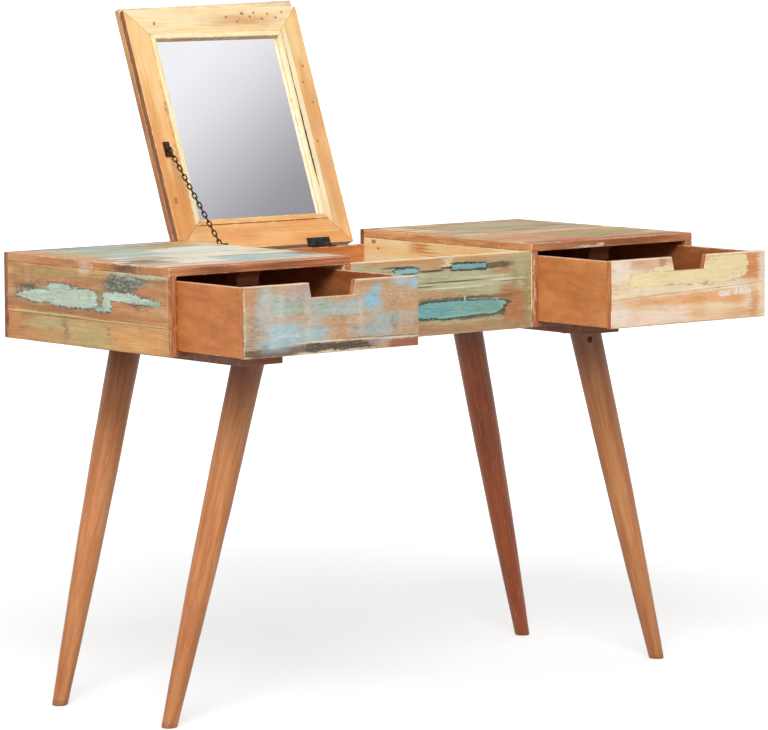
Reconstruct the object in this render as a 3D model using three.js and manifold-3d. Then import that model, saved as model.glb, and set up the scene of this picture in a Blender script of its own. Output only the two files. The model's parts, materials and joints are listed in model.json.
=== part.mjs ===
// A dressing table of reclaimed planks: two cabinets with a drawer each, a compartment between them under a
// mirror lid that a chain holds open, and four turned legs that splay sideways.
// Millimetres. +X to the right, +Y to the back, +Z up. The floor is Z = 0.
import * as THREE from 'three';
import { mergeVertices } from 'three/addons/utils/BufferGeometryUtils.js';
import Module from 'manifold-3d';

const wasm = await Module();
wasm.setup();

// Case
const caseWidth = 1120;
const caseDepth = 456;
const caseTop = 748;
const caseHeight = 141;
const cabinetWidth = 366;
const boardThickness = 14;
const bottomThickness = 9;
const backThickness = 10;
const railThickness = 12;
const arris = 0.8;
const jointGap = 0.3;
const topPlankShares = [0.19, 0.28, 0.27, 0.26];
const endJointShare = 0.35;

// Kicker rails under the tops
const kickerWidth = 45;
const kickerDrop = 25;
const kickerSetback = 26;
const kickerSlant = 10;
const kickerSlantHeight = 12;

// Battens and legs
const battenWidth = 85;
const battenThickness = 24;
const battenBackSetback = 23;
const leftBattenSetback = 1;
const rightBattenSetback = 32;
const legTopRadius = 26.5;
const legFootRadius = 12.8;
const legSwell = 2.4;
const legStations = 10;
const legSegments = 36;
// Where each leg starts and stands, as shares of the case's depth and width: the legs are set by hand and differ.
const legShares = [
  { name: 'front_left_leg', side: -1, topDepthShare: -0.417, footDepthShare: -0.312, footWidthShare: 0.452 },
  { name: 'back_left_leg', side: -1, topDepthShare: 0.312, footDepthShare: 0.314, footWidthShare: 0.463 },
  { name: 'front_right_leg', side: 1, topDepthShare: -0.344, footDepthShare: -0.347, footWidthShare: 0.484 },
  { name: 'back_right_leg', side: 1, topDepthShare: 0.349, footDepthShare: 0.413, footWidthShare: 0.476 },
];

// Pocket screw in the front right leg
const pocketDrop = 11;
const pocketTurn = THREE.MathUtils.degToRad(30);
const pocketPitch = THREE.MathUtils.degToRad(50);
const pocketRadius = 4.5;
const pocketDepth = 9;
const screwHeadRadius = 3.9;
const screwHeadHeight = 2.6;
const screwShankRadius = 2;
const screwLength = 24;

// Dome-headed bolt through each batten into the cabinet bottom
const boltHeadRadius = 11;
const boltHeadHeight = 6.5;
const boltShankRadius = 4;
const boltBiteShare = 0.6;
const boltDepthShare = -0.228;

// Drawers
const drawerSideGap = 1;
const drawerRunGap = 0.5;
const drawerTopClearance = 5.5;
const drawerSideDrop = 2;
const drawerFrontThickness = 11;
const drawerFrontOverlay = 6;
const drawerSideThickness = 10;
const drawerBackThickness = 10;
const drawerBackClearance = 8;
const drawerKickerClearance = 3;
const drawerBottomThickness = 4;
const drawerGrooveDepth = 4;
const drawerGrooveRise = 6;
const notchDepth = 24;
const leftDrawer = { name: 'left_drawer', side: -1, pull: 169, notchTop: 93, notchBottom: 83 };
const rightDrawer = {
  name: 'right_drawer',
  side: 1,
  pull: 178,
  notchTop: 79,
  notchBottom: 67,
  jointShares: [0.41, 0.53],
};

// Mirror lid, described closed and then swung open
const lidOpening = THREE.MathUtils.degToRad(111.5);
const lidBoardThickness = 12;
const lidFrameThickness = 10;
const lidLeftGap = 1.3;
const lidRightGap = 8.5;
const lidRestGap = 0.5;
const lidFrontSetback = 2.5;
const lidFrameFrontSetback = 17.5;
const lidFrameSideSetback = 1;
const lidBackSetback = 0.6;
const frameMemberWidth = 45;
const glassThickness = 3;
const glassEdgeGap = 0.5;
const beadWidth = 9;
const beadHeight = 9;

// Hinges
const hingePlaceShare = 0.2075;
const hingeWidth = 50;
const leafDepth = 12;
const leafThickness = 1.3;
const knuckleRadius = 2.8;
const knuckleGap = 0.4;
const middleKnuckleShare = 0.34;
const pinRadius = 1.2;
const pinBoreRadius = 1.7;
const knuckleSegments = 20;

// Stay chain, its screw eye and its bracket
const chainWire = 2.4;
const chainLinkWidth = 9.6;
const chainNominalPitch = 10.9;
const chainSeat = 0.4;
const chainSteps = 14;
const chainSides = 6;
const eyeDepthShare = 0.187;
const eyeDrop = 50;
const eyeRadius = 4.6;
const eyeWire = 2.2;
const eyePlateRadius = 5.5;
const eyePlateThickness = 1.6;
const bracketReach = 188;
const bracketWidth = 13;
const bracketLength = 27;
const bracketThickness = 1.6;
const stapleRadius = 5.8;
const stapleWaistShare = 0.75;
const stapleWire = 2.2;

// Places worked out from those sizes
const caseBottom = caseTop - caseHeight;
const topUnderside = caseTop - boardThickness;
const floorTop = caseBottom + bottomThickness;
const battenUnderside = caseBottom - battenThickness;
const frontFace = -caseDepth / 2;
const backFace = caseDepth / 2;
const backInside = backFace - backThickness;
const outerFace = caseWidth / 2;
const bayOuter = outerFace - boardThickness;
const compartmentHalf = outerFace - cabinetWidth;
const bayInner = compartmentHalf + boardThickness;
const bayCentre = (bayInner + bayOuter) / 2;
const frontPanelTop = caseTop - lidBoardThickness - lidRestGap;
const lidBoardUnderside = caseTop - lidBoardThickness;
const lidFrameTop = lidBoardUnderside - jointGap;
const lidFrameUnderside = lidFrameTop - lidFrameThickness;
const hingeStack = 2 * leafThickness + 3 * jointGap;
const backRailTop = lidFrameUnderside - hingeStack;
const hingeAxisY = backFace + knuckleRadius + jointGap;
const hingeAxisZ = backRailTop + hingeStack / 2;
const drawerHeight = topUnderside - floorTop - drawerRunGap - drawerTopClearance;
const lidLeft = -compartmentHalf + lidLeftGap;
const lidRight = compartmentHalf - lidRightGap;
const lidFrameLeft = lidLeft + lidFrameSideSetback;
const lidFrameRight = lidRight - lidFrameSideSetback;

const colours = {
  mint: 0xb9d6c4,
  cream: 0xe6dfc6,
  paleBlue: 0xa9c9d2,
  olive: 0xb8b48c,
  tan: 0xc99a68,
  peach: 0xd9a67e,
  sage: 0xb6b78f,
  orange: 0xc8854f,
  honey: 0xe0ab6c,
  paleBead: 0xf0dcaa,
  ply: 0xbf7d4c,
  brown: 0x7c4a30,
  legRed: 0xa9714c,
  bronze: 0x4a3b30,
  steel: 0x6b6660,
  mirror: 0xd6d8d8,
};

function finish(colour, roughness = 0.62, metalness = 0) {
  return new THREE.MeshStandardMaterial({ color: colour, roughness, metalness });
}

function addMesh(parent, name, geometry, material, position = [0, 0, 0]) {
  const mesh = new THREE.Mesh(geometry, material);
  mesh.name = name;
  mesh.position.set(...position);
  parent.add(mesh);
  return mesh;
}

// A three.js geometry as a manifold-3d solid, and back again
function toSolid(geometry) {
  const bare = geometry.index ? geometry.toNonIndexed() : geometry.clone();
  bare.deleteAttribute('normal');
  bare.deleteAttribute('uv');
  const merged = mergeVertices(bare);
  const mesh = new wasm.Mesh({
    numProp: 3,
    vertProperties: new Float32Array(merged.attributes.position.array),
    triVerts: new Uint32Array(merged.index.array),
  });
  return new wasm.Manifold(mesh);
}

function fromSolid(solid) {
  const mesh = solid.getMesh();
  const geometry = new THREE.BufferGeometry();
  geometry.setAttribute('position', new THREE.BufferAttribute(new Float32Array(mesh.vertProperties), 3));
  geometry.setIndex(new THREE.BufferAttribute(new Uint32Array(mesh.triVerts), 1));
  geometry.computeVertexNormals();
  return geometry;
}

function cut(geometry, ...tools) {
  return fromSolid(tools.reduce((solid, tool) => solid.subtract(toSolid(tool)), toSolid(geometry)));
}

function fuse(...geometries) {
  const [first, ...others] = geometries.map(toSolid);
  return fromSolid(others.reduce((solid, other) => solid.add(other), first));
}

// A flat outline in X and Y, extruded up Z to the thickness, with every edge eased by the arris
function easedPlate(points, thickness) {
  const shape = new THREE.Shape(points.map(([x, y]) => new THREE.Vector2(x, y)));
  const geometry = new THREE.ExtrudeGeometry(shape, {
    depth: thickness - 2 * arris,
    bevelEnabled: true,
    bevelThickness: arris,
    bevelSize: arris,
    bevelOffset: -arris,
    bevelSegments: 1,
  });
  geometry.translate(0, 0, arris);
  return geometry;
}

// A board of width, depth and height from its lowest corner, its long corners cut by the arris too
function boardGeometry(width, depth, height) {
  const points = [
    [arris, 0],
    [width - arris, 0],
    [width, arris],
    [width, depth - arris],
    [width - arris, depth],
    [arris, depth],
    [0, depth - arris],
    [0, arris],
  ];
  return easedPlate(points, height);
}

function addBoard(parent, name, x, y, z, material) {
  const geometry = boardGeometry(x[1] - x[0], y[1] - y[0], z[1] - z[0]);
  return addMesh(parent, name, geometry, material, [x[0], y[0], z[0]]);
}

// The same span on the left (side -1) or the right (side 1) of the middle, lowest value first
function onSide(side, near, far) {
  return side > 0 ? [near, far] : [-far, -near];
}

function sideName(side) {
  return side > 0 ? 'right' : 'left';
}

// A profile of [radius, height] points turned about Z
function turned(profile, segments) {
  const geometry = new THREE.LatheGeometry(profile.map(([r, h]) => new THREE.Vector2(r, h)), segments);
  geometry.rotateX(Math.PI / 2);
  return geometry;
}

// Moves a geometry made along +Z so that it starts at a point and runs along a direction
function aim(geometry, start, direction) {
  const turn = new THREE.Quaternion().setFromUnitVectors(new THREE.Vector3(0, 0, 1), direction);
  geometry.applyQuaternion(turn);
  geometry.translate(start.x, start.y, start.z);
  return geometry;
}

// Case: tops, ends, inner sides, backs and bottoms
function addTop(parent, side, plankColours) {
  const depth = backInside - jointGap - frontFace;
  let start = frontFace;
  topPlankShares.forEach((share, i) => {
    const end = start + share * depth;
    const x = onSide(side, compartmentHalf, outerFace);
    const y = [start, end - (i < topPlankShares.length - 1 ? jointGap : 0)];
    const name = `${sideName(side)}_top_plank_${i + 1}`;
    addBoard(parent, name, x, y, [topUnderside, caseTop], finish(plankColours[i]));
    start = end;
  });
}

function addEnds(parent) {
  const y = [frontFace, backInside - jointGap];
  const top = topUnderside - jointGap;
  const joint = caseBottom + endJointShare * (topUnderside - caseBottom);
  const left = onSide(-1, bayOuter, outerFace);
  addBoard(parent, 'left_end_upper_board', left, y, [joint, top], finish(colours.orange));
  addBoard(parent, 'left_end_lower_board', left, y, [caseBottom, joint - jointGap], finish(colours.peach));
  addBoard(parent, 'right_end_board', onSide(1, bayOuter, outerFace), y, [caseBottom, top], finish(colours.orange));
}

function addCabinet(parent, side) {
  const name = sideName(side);
  const inner = onSide(side, compartmentHalf, bayInner);
  const whole = onSide(side, compartmentHalf, outerFace);
  const bay = onSide(side, bayInner + jointGap, bayOuter - jointGap);
  const y = [frontFace, backInside - jointGap];
  addBoard(parent, `${name}_inner_side`, inner, y, [caseBottom, topUnderside - jointGap], finish(colours.honey));
  addBoard(parent, `${name}_back_panel`, whole, [backInside, backFace], [caseBottom, caseTop], finish(colours.tan));
  return addMesh(
    parent,
    `${name}_cabinet_bottom`,
    cut(boardGeometry(bay[1] - bay[0], y[1] - y[0], bottomThickness), boltBore(side, bay[0], y[0], caseBottom)),
    finish(colours.brown),
    [bay[0], y[0], caseBottom],
  );
}

function addKicker(parent, side) {
  const top = topUnderside - jointGap;
  const front = frontFace + kickerSetback;
  const back = backInside - jointGap;
  const length = back - front;
  const points = [
    [0, 0],
    [length, 0],
    [length, -kickerDrop],
    [kickerSlant, -kickerDrop],
    [kickerSlant, -kickerSlantHeight],
  ];
  const geometry = easedPlate(points.reverse(), kickerWidth);
  geometry.rotateX(Math.PI / 2);
  geometry.rotateZ(Math.PI / 2);
  const left = side * bayCentre - kickerWidth / 2;
  addMesh(parent, `${sideName(side)}_kicker_rail`, geometry, finish(colours.brown), [left, front, top]);
}

function addCompartment(parent) {
  const x = [-compartmentHalf + jointGap, compartmentHalf - jointGap];
  const inside = frontFace + boardThickness;
  const railFront = backFace - railThickness;
  const panel = [frontFace, inside];
  addBoard(parent, 'centre_front_panel', x, panel, [caseBottom, frontPanelTop], finish(colours.sage));
  addBoard(parent, 'centre_back_rail', x, [railFront, backFace], [caseBottom, backRailTop], finish(colours.orange));
  const floor = [inside + jointGap, railFront - jointGap];
  addBoard(parent, 'centre_bottom', x, floor, [caseBottom, floorTop], finish(colours.honey));
}

// Battens, bolts and legs
function boltPlace(side) {
  return new THREE.Vector3(side * bayCentre, boltDepthShare * caseDepth, battenUnderside);
}

function boltReach() {
  return battenThickness + boltBiteShare * bottomThickness;
}

// The bolt's bore, placed as a board whose lowest corner is at (x, y, z) sees it
function boltBore(side, x, y, z) {
  const place = boltPlace(side);
  const radius = boltShankRadius + jointGap;
  const top = boltReach() + jointGap;
  const bore = turned([[0, -arris], [radius, -arris], [radius, top], [0, top]], knuckleSegments);
  bore.translate(place.x - x, place.y - y, place.z - z);
  return bore;
}

function addBolt(parent, side) {
  const place = boltPlace(side);
  const dome = Array.from({ length: 7 }, (_, i) => {
    const turn = (i / 6) * (Math.PI / 2);
    return [boltHeadRadius * Math.sin(turn), -jointGap - boltHeadHeight * Math.cos(turn)];
  });
  const neck = [[boltShankRadius, -jointGap], [boltShankRadius, boltReach()], [0, boltReach()]];
  const geometry = turned([...dome, ...neck], knuckleSegments);
  const name = `${sideName(side)}_batten_bolt`;
  addMesh(parent, name, geometry, finish(colours.steel, 0.45, 0.9), [place.x, place.y, place.z]);
}

function addBatten(parent, side, setback) {
  const left = side * bayCentre - battenWidth / 2;
  const front = frontFace + setback;
  const depth = backFace - battenBackSetback - front;
  let geometry = boardGeometry(battenWidth, depth, battenThickness - jointGap);
  geometry = cut(geometry, boltBore(side, left, front, battenUnderside));
  if (side > 0) {
    const pocket = pocketTool();
    pocket.translate(-left, -front, -battenUnderside);
    geometry = cut(geometry, pocket);
  }
  const name = `${sideName(side)}_leg_batten`;
  addMesh(parent, name, geometry, finish(colours.brown), [left, front, battenUnderside]);
}

function legAxis(leg) {
  const foot = new THREE.Vector3(leg.side * leg.footWidthShare * caseWidth, leg.footDepthShare * caseDepth, 0);
  const top = new THREE.Vector3(leg.side * bayCentre, leg.topDepthShare * caseDepth, battenUnderside);
  const direction = top.clone().sub(foot).normalize();
  return { foot, top, direction, length: top.distanceTo(foot) };
}

// The radius at a share of the leg's length from the floor: a taper that swells a little half way up
function legRadius(share) {
  const taper = legFootRadius + (legTopRadius - legFootRadius) * share;
  return taper + 4 * legSwell * share * (1 - share);
}

// A leg turned past both ends and trimmed level with the floor and the batten
function legGeometry(leg) {
  const { foot, direction, length } = legAxis(leg);
  const overrun = legTopRadius;
  const side = Array.from({ length: legStations + 1 }, (_, i) => {
    const along = (i / legStations) * (length + 2 * overrun) - overrun;
    return [legRadius(along / length), along];
  });
  const cone = turned([[0, -overrun], ...side, [0, length + overrun]], legSegments);
  aim(cone, foot, direction);
  const height = battenUnderside - jointGap;
  const slab = new THREE.BoxGeometry(2 * caseWidth, 2 * caseDepth, height);
  slab.translate(0, 0, height / 2);
  return fromSolid(toSolid(cone).intersect(toSolid(slab)));
}

function pocketAxis() {
  const leg = legShares.find((entry) => entry.name === 'front_right_leg');
  const { foot, direction, length } = legAxis(leg);
  const down = pocketDrop / direction.z;
  const outward = new THREE.Vector3(-Math.sin(pocketTurn), -Math.cos(pocketTurn), 0);
  const radius = legRadius(1 - down / length);
  const entry = foot.clone().addScaledVector(direction, length - down).addScaledVector(outward, radius);
  const inward = outward.clone().multiplyScalar(-Math.cos(pocketPitch));
  inward.z = Math.sin(pocketPitch);
  return { entry, inward };
}

function pocketTool() {
  const { entry, inward } = pocketAxis();
  const bore = screwShankRadius + jointGap;
  const end = pocketDepth + screwLength + 2 * jointGap;
  const profile = [
    [0, -legTopRadius],
    [pocketRadius, -legTopRadius],
    [pocketRadius, pocketDepth],
    [bore, pocketDepth],
    [bore, end],
    [0, end],
  ];
  return aim(turned(profile, knuckleSegments), entry, inward);
}

function addPocketScrew(parent) {
  const { entry, inward } = pocketAxis();
  const seat = pocketDepth - jointGap;
  const profile = [
    [0, seat - screwHeadHeight],
    [screwHeadRadius, seat - screwHeadHeight],
    [screwHeadRadius, seat],
    [screwShankRadius, seat],
    [screwShankRadius, seat + screwLength],
    [0, seat + screwLength],
  ];
  const geometry = aim(turned(profile, knuckleSegments), entry, inward);
  addMesh(parent, 'front_right_leg_screw', geometry, finish(colours.steel, 0.4, 0.9));
}

function addLegs(parent) {
  for (const leg of legShares) {
    const whole = legGeometry(leg);
    const geometry = leg.name === 'front_right_leg' ? cut(whole, pocketTool()) : whole;
    addMesh(parent, leg.name, geometry, finish(colours.legRed, 0.5));
  }
  addPocketScrew(parent);
}

// Drawers, described pushed in and then slid out to their pull
function frontOutline(width, low, high, notch) {
  const half = width / 2;
  const points = [[-half, low[0]], [half, low[1]], [half, high[1]]];
  if (notch) {
    points.push([notch.notchTop / 2, high[1]]);
    points.push([notch.notchBottom / 2, high[1] - notchDepth]);
    points.push([-notch.notchBottom / 2, high[1] - notchDepth]);
    points.push([-notch.notchTop / 2, high[1]]);
  }
  points.push([-half, high[0]]);
  return points;
}

function addFront(parent, name, outline, centre, back, bottom, colour) {
  const geometry = easedPlate(outline, drawerFrontThickness);
  geometry.rotateX(Math.PI / 2);
  addMesh(parent, name, geometry, finish(colour), [centre, back, bottom]);
}

function addDrawer(parent, drawer, frontColours) {
  const group = new THREE.Group();
  group.position.y = -drawer.pull;
  parent.add(group);
  const centre = drawer.side * bayCentre;
  const half = (bayOuter - bayInner) / 2 - drawerSideGap;
  const inner = half - drawerSideThickness;
  const bottom = floorTop + drawerRunGap;
  const front = frontFace - jointGap;
  const back = backInside - drawerBackClearance;
  const sideTop = bottom + drawerHeight - drawerSideDrop;
  const frontWidth = bayOuter - bayInner + 2 * drawerFrontOverlay;

  if (drawer.jointShares) {
    const joint = drawer.jointShares.map((share) => share * drawerHeight);
    const lower = frontOutline(frontWidth, [0, 0], joint.map((z) => z - jointGap));
    const upper = frontOutline(frontWidth, joint, [drawerHeight, drawerHeight], drawer);
    addFront(group, `${drawer.name}_front_upper`, upper, centre, front, bottom, frontColours[0]);
    addFront(group, `${drawer.name}_front_lower`, lower, centre, front, bottom, frontColours[1]);
  } else {
    const whole = frontOutline(frontWidth, [0, 0], [drawerHeight, drawerHeight], drawer);
    addFront(group, `${drawer.name}_front`, whole, centre, front, bottom, frontColours[0]);
  }

  const y = [front + jointGap, back];
  const groove = [drawerGrooveRise, drawerGrooveRise + drawerBottomThickness + jointGap];
  for (const side of [-1, 1]) {
    const left = centre + (side > 0 ? inner : -half);
    const blank = boardGeometry(drawerSideThickness, y[1] - y[0], sideTop - bottom);
    const tool = new THREE.BoxGeometry(2 * drawerGrooveDepth, 2 * caseDepth, groove[1] - groove[0]);
    tool.translate(side > 0 ? 0 : drawerSideThickness, 0, (groove[0] + groove[1]) / 2);
    const name = `${drawer.name}_${sideName(side)}_side`;
    addMesh(group, name, cut(blank, tool), finish(colours.ply), [left, y[0], bottom]);
  }

  const floorX = inner + drawerGrooveDepth - jointGap;
  const floorZ = bottom + groove[0] + jointGap / 2;
  const floorSpan = [floorZ, floorZ + drawerBottomThickness];
  const x = [centre - floorX, centre + floorX];
  addBoard(group, `${drawer.name}_bottom`, x, y, floorSpan, finish(colours.brown));

  const backX = [centre - inner + jointGap, centre + inner - jointGap];
  const backTop = topUnderside - kickerDrop - drawerKickerClearance;
  const backZ = [floorSpan[1] + jointGap, backTop];
  const backY = [back - drawerBackThickness, back];
  addBoard(group, `${drawer.name}_back`, backX, backY, backZ, finish(colours.ply));
}

// One mitred member of a rectangular surround: its outer edge runs along X at Y = 0, its inner edge at Y = width
function mitredMember(length, width, thickness) {
  const inset = jointGap;
  const points = [
    [inset, 0],
    [length - inset, 0],
    [length - width - inset, width],
    [width + inset, width],
  ];
  return easedPlate(points, thickness);
}

// Four mitred members round a rectangle, by the lid's own names for its edges
function addSurround(parent, kind, x, y, z, width, colour) {
  const spanX = x[1] - x[0];
  const spanY = y[1] - y[0];
  const members = [
    { edge: 'top', length: spanX, turn: 0, at: [x[0], y[0]] },
    { edge: 'right', length: spanY, turn: Math.PI / 2, at: [x[1], y[0]] },
    { edge: 'bottom', length: spanX, turn: Math.PI, at: [x[1], y[1]] },
    { edge: 'left', length: spanY, turn: -Math.PI / 2, at: [x[0], y[1]] },
  ];
  for (const member of members) {
    const geometry = mitredMember(member.length, width, z[1] - z[0]);
    const mesh = addMesh(parent, `${kind}_${member.edge}`, geometry, finish(colour), [...member.at, z[0]]);
    mesh.rotation.z = member.turn;
  }
}

// Lid: the free edge is its top when it stands open
function addLid(parent) {
  const group = new THREE.Group();
  group.position.set(0, hingeAxisY, hingeAxisZ);
  group.rotation.x = -lidOpening;
  parent.add(group);
  const closed = new THREE.Group();
  closed.position.set(0, -hingeAxisY, -hingeAxisZ);
  group.add(closed);

  const backEdge = backFace - lidBackSetback;
  const boardX = [lidLeft, lidRight];
  const boardY = [frontFace + lidFrontSetback, backEdge];
  addBoard(closed, 'lid_board', boardX, boardY, [lidBoardUnderside, caseTop], finish(colours.tan));

  const frameX = [lidFrameLeft, lidFrameRight];
  const frameY = [frontFace + lidFrameFrontSetback, backEdge];
  const frameZ = [lidFrameUnderside, lidFrameTop];
  addSurround(closed, 'lid_frame', frameX, frameY, frameZ, frameMemberWidth, colours.honey);

  const openX = frameX.map((v, i) => v + (i ? -1 : 1) * (frameMemberWidth + glassEdgeGap));
  const openY = frameY.map((v, i) => v + (i ? -1 : 1) * (frameMemberWidth + glassEdgeGap));
  const glassLow = lidFrameTop - glassThickness;
  const glassGeometry = new THREE.BoxGeometry(openX[1] - openX[0], openY[1] - openY[0], glassThickness);
  const glassPlace = [(openX[0] + openX[1]) / 2, (openY[0] + openY[1]) / 2, glassLow + glassThickness / 2];
  addMesh(closed, 'mirror_glass', glassGeometry, finish(colours.mirror, 0.05, 1), glassPlace);
  const beadTop = glassLow - jointGap;
  addSurround(closed, 'mirror_bead', openX, openY, [beadTop - beadHeight, beadTop], beadWidth, colours.paleBead);

  for (const side of [-1, 1]) addUpperLeaf(closed, side);
  addBracket(closed);
  return closed;
}

// Hinges: a leaf is a plate as far as the knuckles and a tongue under each knuckle of its own
function knuckle(from, to) {
  const geometry = new THREE.CylinderGeometry(knuckleRadius, knuckleRadius, to - from, knuckleSegments);
  geometry.rotateZ(Math.PI / 2);
  geometry.translate((from + to) / 2, 0, 0);
  return geometry;
}

function leafPart(from, to, back, low) {
  const front = -leafDepth - knuckleRadius;
  const geometry = new THREE.BoxGeometry(to - from, back - front, leafThickness);
  geometry.translate((from + to) / 2, (front + back) / 2, low + leafThickness / 2);
  return geometry;
}

function hingePlace(side) {
  const inset = hingePlaceShare * (lidRight - lidLeft);
  const x = side > 0 ? lidRight - inset : lidLeft + inset;
  return [x, hingeAxisY, hingeAxisZ];
}

function addLowerLeaf(parent, side) {
  const half = hingeWidth / 2;
  const middle = (middleKnuckleShare * hingeWidth) / 2;
  const low = -hingeStack / 2 + jointGap;
  const clear = -knuckleRadius - jointGap;
  const pin = new THREE.CylinderGeometry(pinRadius, pinRadius, hingeWidth - 2 * arris, knuckleSegments);
  pin.rotateZ(Math.PI / 2);
  const geometry = fuse(
    leafPart(-half, half, clear, low),
    leafPart(-half, -middle - knuckleGap, 0, low),
    leafPart(middle + knuckleGap, half, 0, low),
    knuckle(-half, -middle - knuckleGap),
    knuckle(middle + knuckleGap, half),
    pin,
  );
  const name = `${sideName(side)}_hinge_lower_leaf`;
  addMesh(parent, name, geometry, finish(colours.bronze, 0.4, 0.85), hingePlace(side));
}

function addUpperLeaf(parent, side) {
  const half = hingeWidth / 2;
  const middle = (middleKnuckleShare * hingeWidth) / 2;
  const low = jointGap / 2;
  const clear = -knuckleRadius - jointGap;
  const bore = new THREE.CylinderGeometry(pinBoreRadius, pinBoreRadius, hingeWidth, knuckleSegments);
  bore.rotateZ(Math.PI / 2);
  const leaf = fuse(
    leafPart(-half, half, clear, low),
    leafPart(-middle, middle, 0, low),
    knuckle(-middle, middle),
  );
  const name = `${sideName(side)}_hinge_upper_leaf`;
  addMesh(parent, name, cut(leaf, bore), finish(colours.bronze, 0.4, 0.85), hingePlace(side));
}

// Chain fittings. The screw eye's ring stands out from the compartment's left wall.
function eyeCentre() {
  const reach = eyePlateThickness + eyeRadius;
  return new THREE.Vector3(-compartmentHalf + jointGap + reach, eyeDepthShare * caseDepth, caseTop - eyeDrop);
}

function stapleCentre() {
  const x = lidFrameLeft + frameMemberWidth / 2;
  return new THREE.Vector3(x, hingeAxisY - bracketReach, lidFrameUnderside - jointGap);
}

function addEye(parent, direction) {
  const ring = new THREE.TorusGeometry(eyeRadius, eyeWire / 2, chainSides, chainSteps);
  const acrossWall = new THREE.Vector3(1, 0, 0);
  const along = direction.clone().addScaledVector(acrossWall, -direction.dot(acrossWall)).normalize();
  const normal = acrossWall.clone().cross(along);
  ring.applyMatrix4(new THREE.Matrix4().makeBasis(acrossWall, along, normal));
  const plate = new THREE.CylinderGeometry(eyePlateRadius, eyePlateRadius, eyePlateThickness, knuckleSegments);
  plate.rotateZ(Math.PI / 2);
  plate.translate(-eyeRadius - eyePlateThickness / 2, 0, 0);
  addMesh(parent, 'chain_screw_eye', fuse(ring, plate), finish(colours.bronze, 0.45, 0.85), eyeCentre().toArray());
}

// The bracket on the lid's left frame member: a plate with a half-ring staple bridging it along X
function addBracket(parent) {
  const plate = new THREE.BoxGeometry(bracketWidth, bracketLength, bracketThickness);
  plate.translate(0, 0, -bracketThickness / 2);
  const staple = new THREE.TorusGeometry(stapleRadius, stapleWire / 2, chainSides, chainSteps);
  staple.rotateX(Math.PI / 2);
  staple.scale(stapleWaistShare, 1, 1);
  staple.translate(0, 0, -bracketThickness / 2);
  const above = new THREE.BoxGeometry(bracketWidth, bracketLength, bracketWidth);
  above.translate(0, 0, bracketWidth / 2);
  const geometry = cut(fuse(plate, staple), above);
  addMesh(parent, 'chain_bracket', geometry, finish(colours.bronze, 0.45, 0.85), stapleCentre().toArray());
}

// A link's centre line, from the middle of one end: two straights and two half circles in X and Y, long along X
class LinkPath extends THREE.Curve {
  constructor(length, width) {
    super();
    this.radius = width / 2;
    this.straight = length - width;
  }

  getPoint(t, target = new THREE.Vector3()) {
    const arc = Math.PI * this.radius;
    const whole = 2 * (arc + this.straight);
    let run = (t * whole + this.straight + arc / 2) % whole;
    const end = this.straight / 2;
    if (run < this.straight) return target.set(run - end, -this.radius, 0);
    run -= this.straight;
    if (run < arc) {
      const turn = run / this.radius;
      return target.set(end + this.radius * Math.sin(turn), -this.radius * Math.cos(turn), 0);
    }
    run -= arc;
    if (run < this.straight) return target.set(end - run, this.radius, 0);
    run -= this.straight;
    const turn = run / this.radius;
    return target.set(-end - this.radius * Math.sin(turn), this.radius * Math.cos(turn), 0);
  }
}

// Links strung on a straight line, every second one turned a quarter, each pressed into the next by the seat
function addChain(parent, from, to, wireAtEnds) {
  const along = to.clone().sub(from).normalize();
  const reach = from.distanceTo(to);
  const slack = wireAtEnds / 2 + jointGap;
  const pairs = Math.round((reach / chainNominalPitch - 1) / 2);
  const count = 2 * pairs + 1;
  const inner = (reach + 2 * slack - (count - 1) * chainSeat) / count;
  const across = new THREE.Vector3(1, 0, 0);
  across.addScaledVector(along, -across.dot(along)).normalize();
  const upright = along.clone().cross(across);
  const path = new LinkPath(inner + chainWire, chainLinkWidth - chainWire);
  const links = Array.from({ length: count }, (_, i) => {
    const link = new THREE.TubeGeometry(path, chainSteps, chainWire / 2, chainSides, true);
    const flat = i % 2 === 0 ? upright : across;
    link.applyMatrix4(new THREE.Matrix4().makeBasis(along, flat, along.clone().cross(flat)));
    const centre = from.clone().addScaledVector(along, inner / 2 - slack + i * (inner + chainSeat));
    link.translate(centre.x, centre.y, centre.z);
    return link;
  });
  addMesh(parent, 'stay_chain', fuse(...links), finish(colours.bronze, 0.45, 0.85));
}

const dressingTable = new THREE.Group();
const carcass = new THREE.Group();
dressingTable.add(carcass);

addTop(carcass, -1, [colours.cream, colours.mint, colours.paleBlue, colours.olive]);
addTop(carcass, 1, [colours.tan, colours.olive, colours.paleBlue, colours.peach]);
addEnds(carcass);
addCompartment(carcass);
for (const side of [-1, 1]) {
  addCabinet(carcass, side);
  addKicker(carcass, side);
  addBolt(carcass, side);
  addLowerLeaf(carcass, side);
}
addBatten(carcass, -1, leftBattenSetback);
addBatten(carcass, 1, rightBattenSetback);
addLegs(carcass);
addDrawer(dressingTable, leftDrawer, [colours.tan]);
addDrawer(dressingTable, rightDrawer, [colours.cream, colours.peach]);
const closedLid = addLid(dressingTable);

// The chain runs from the middle of the eye's far side to the middle of the staple's bridge, wherever the lid stands
closedLid.updateWorldMatrix(true, false);
const bridge = stapleCentre();
bridge.z -= bracketThickness / 2 + stapleRadius;
const staplePoint = bridge.applyMatrix4(closedLid.matrixWorld);
const pull = staplePoint.clone().sub(eyeCentre()).normalize();
const eyePoint = eyeCentre().addScaledVector(pull, eyeRadius);
addEye(carcass, pull);
addChain(carcass, eyePoint, staplePoint, Math.max(eyeWire, stapleWire));

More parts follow.
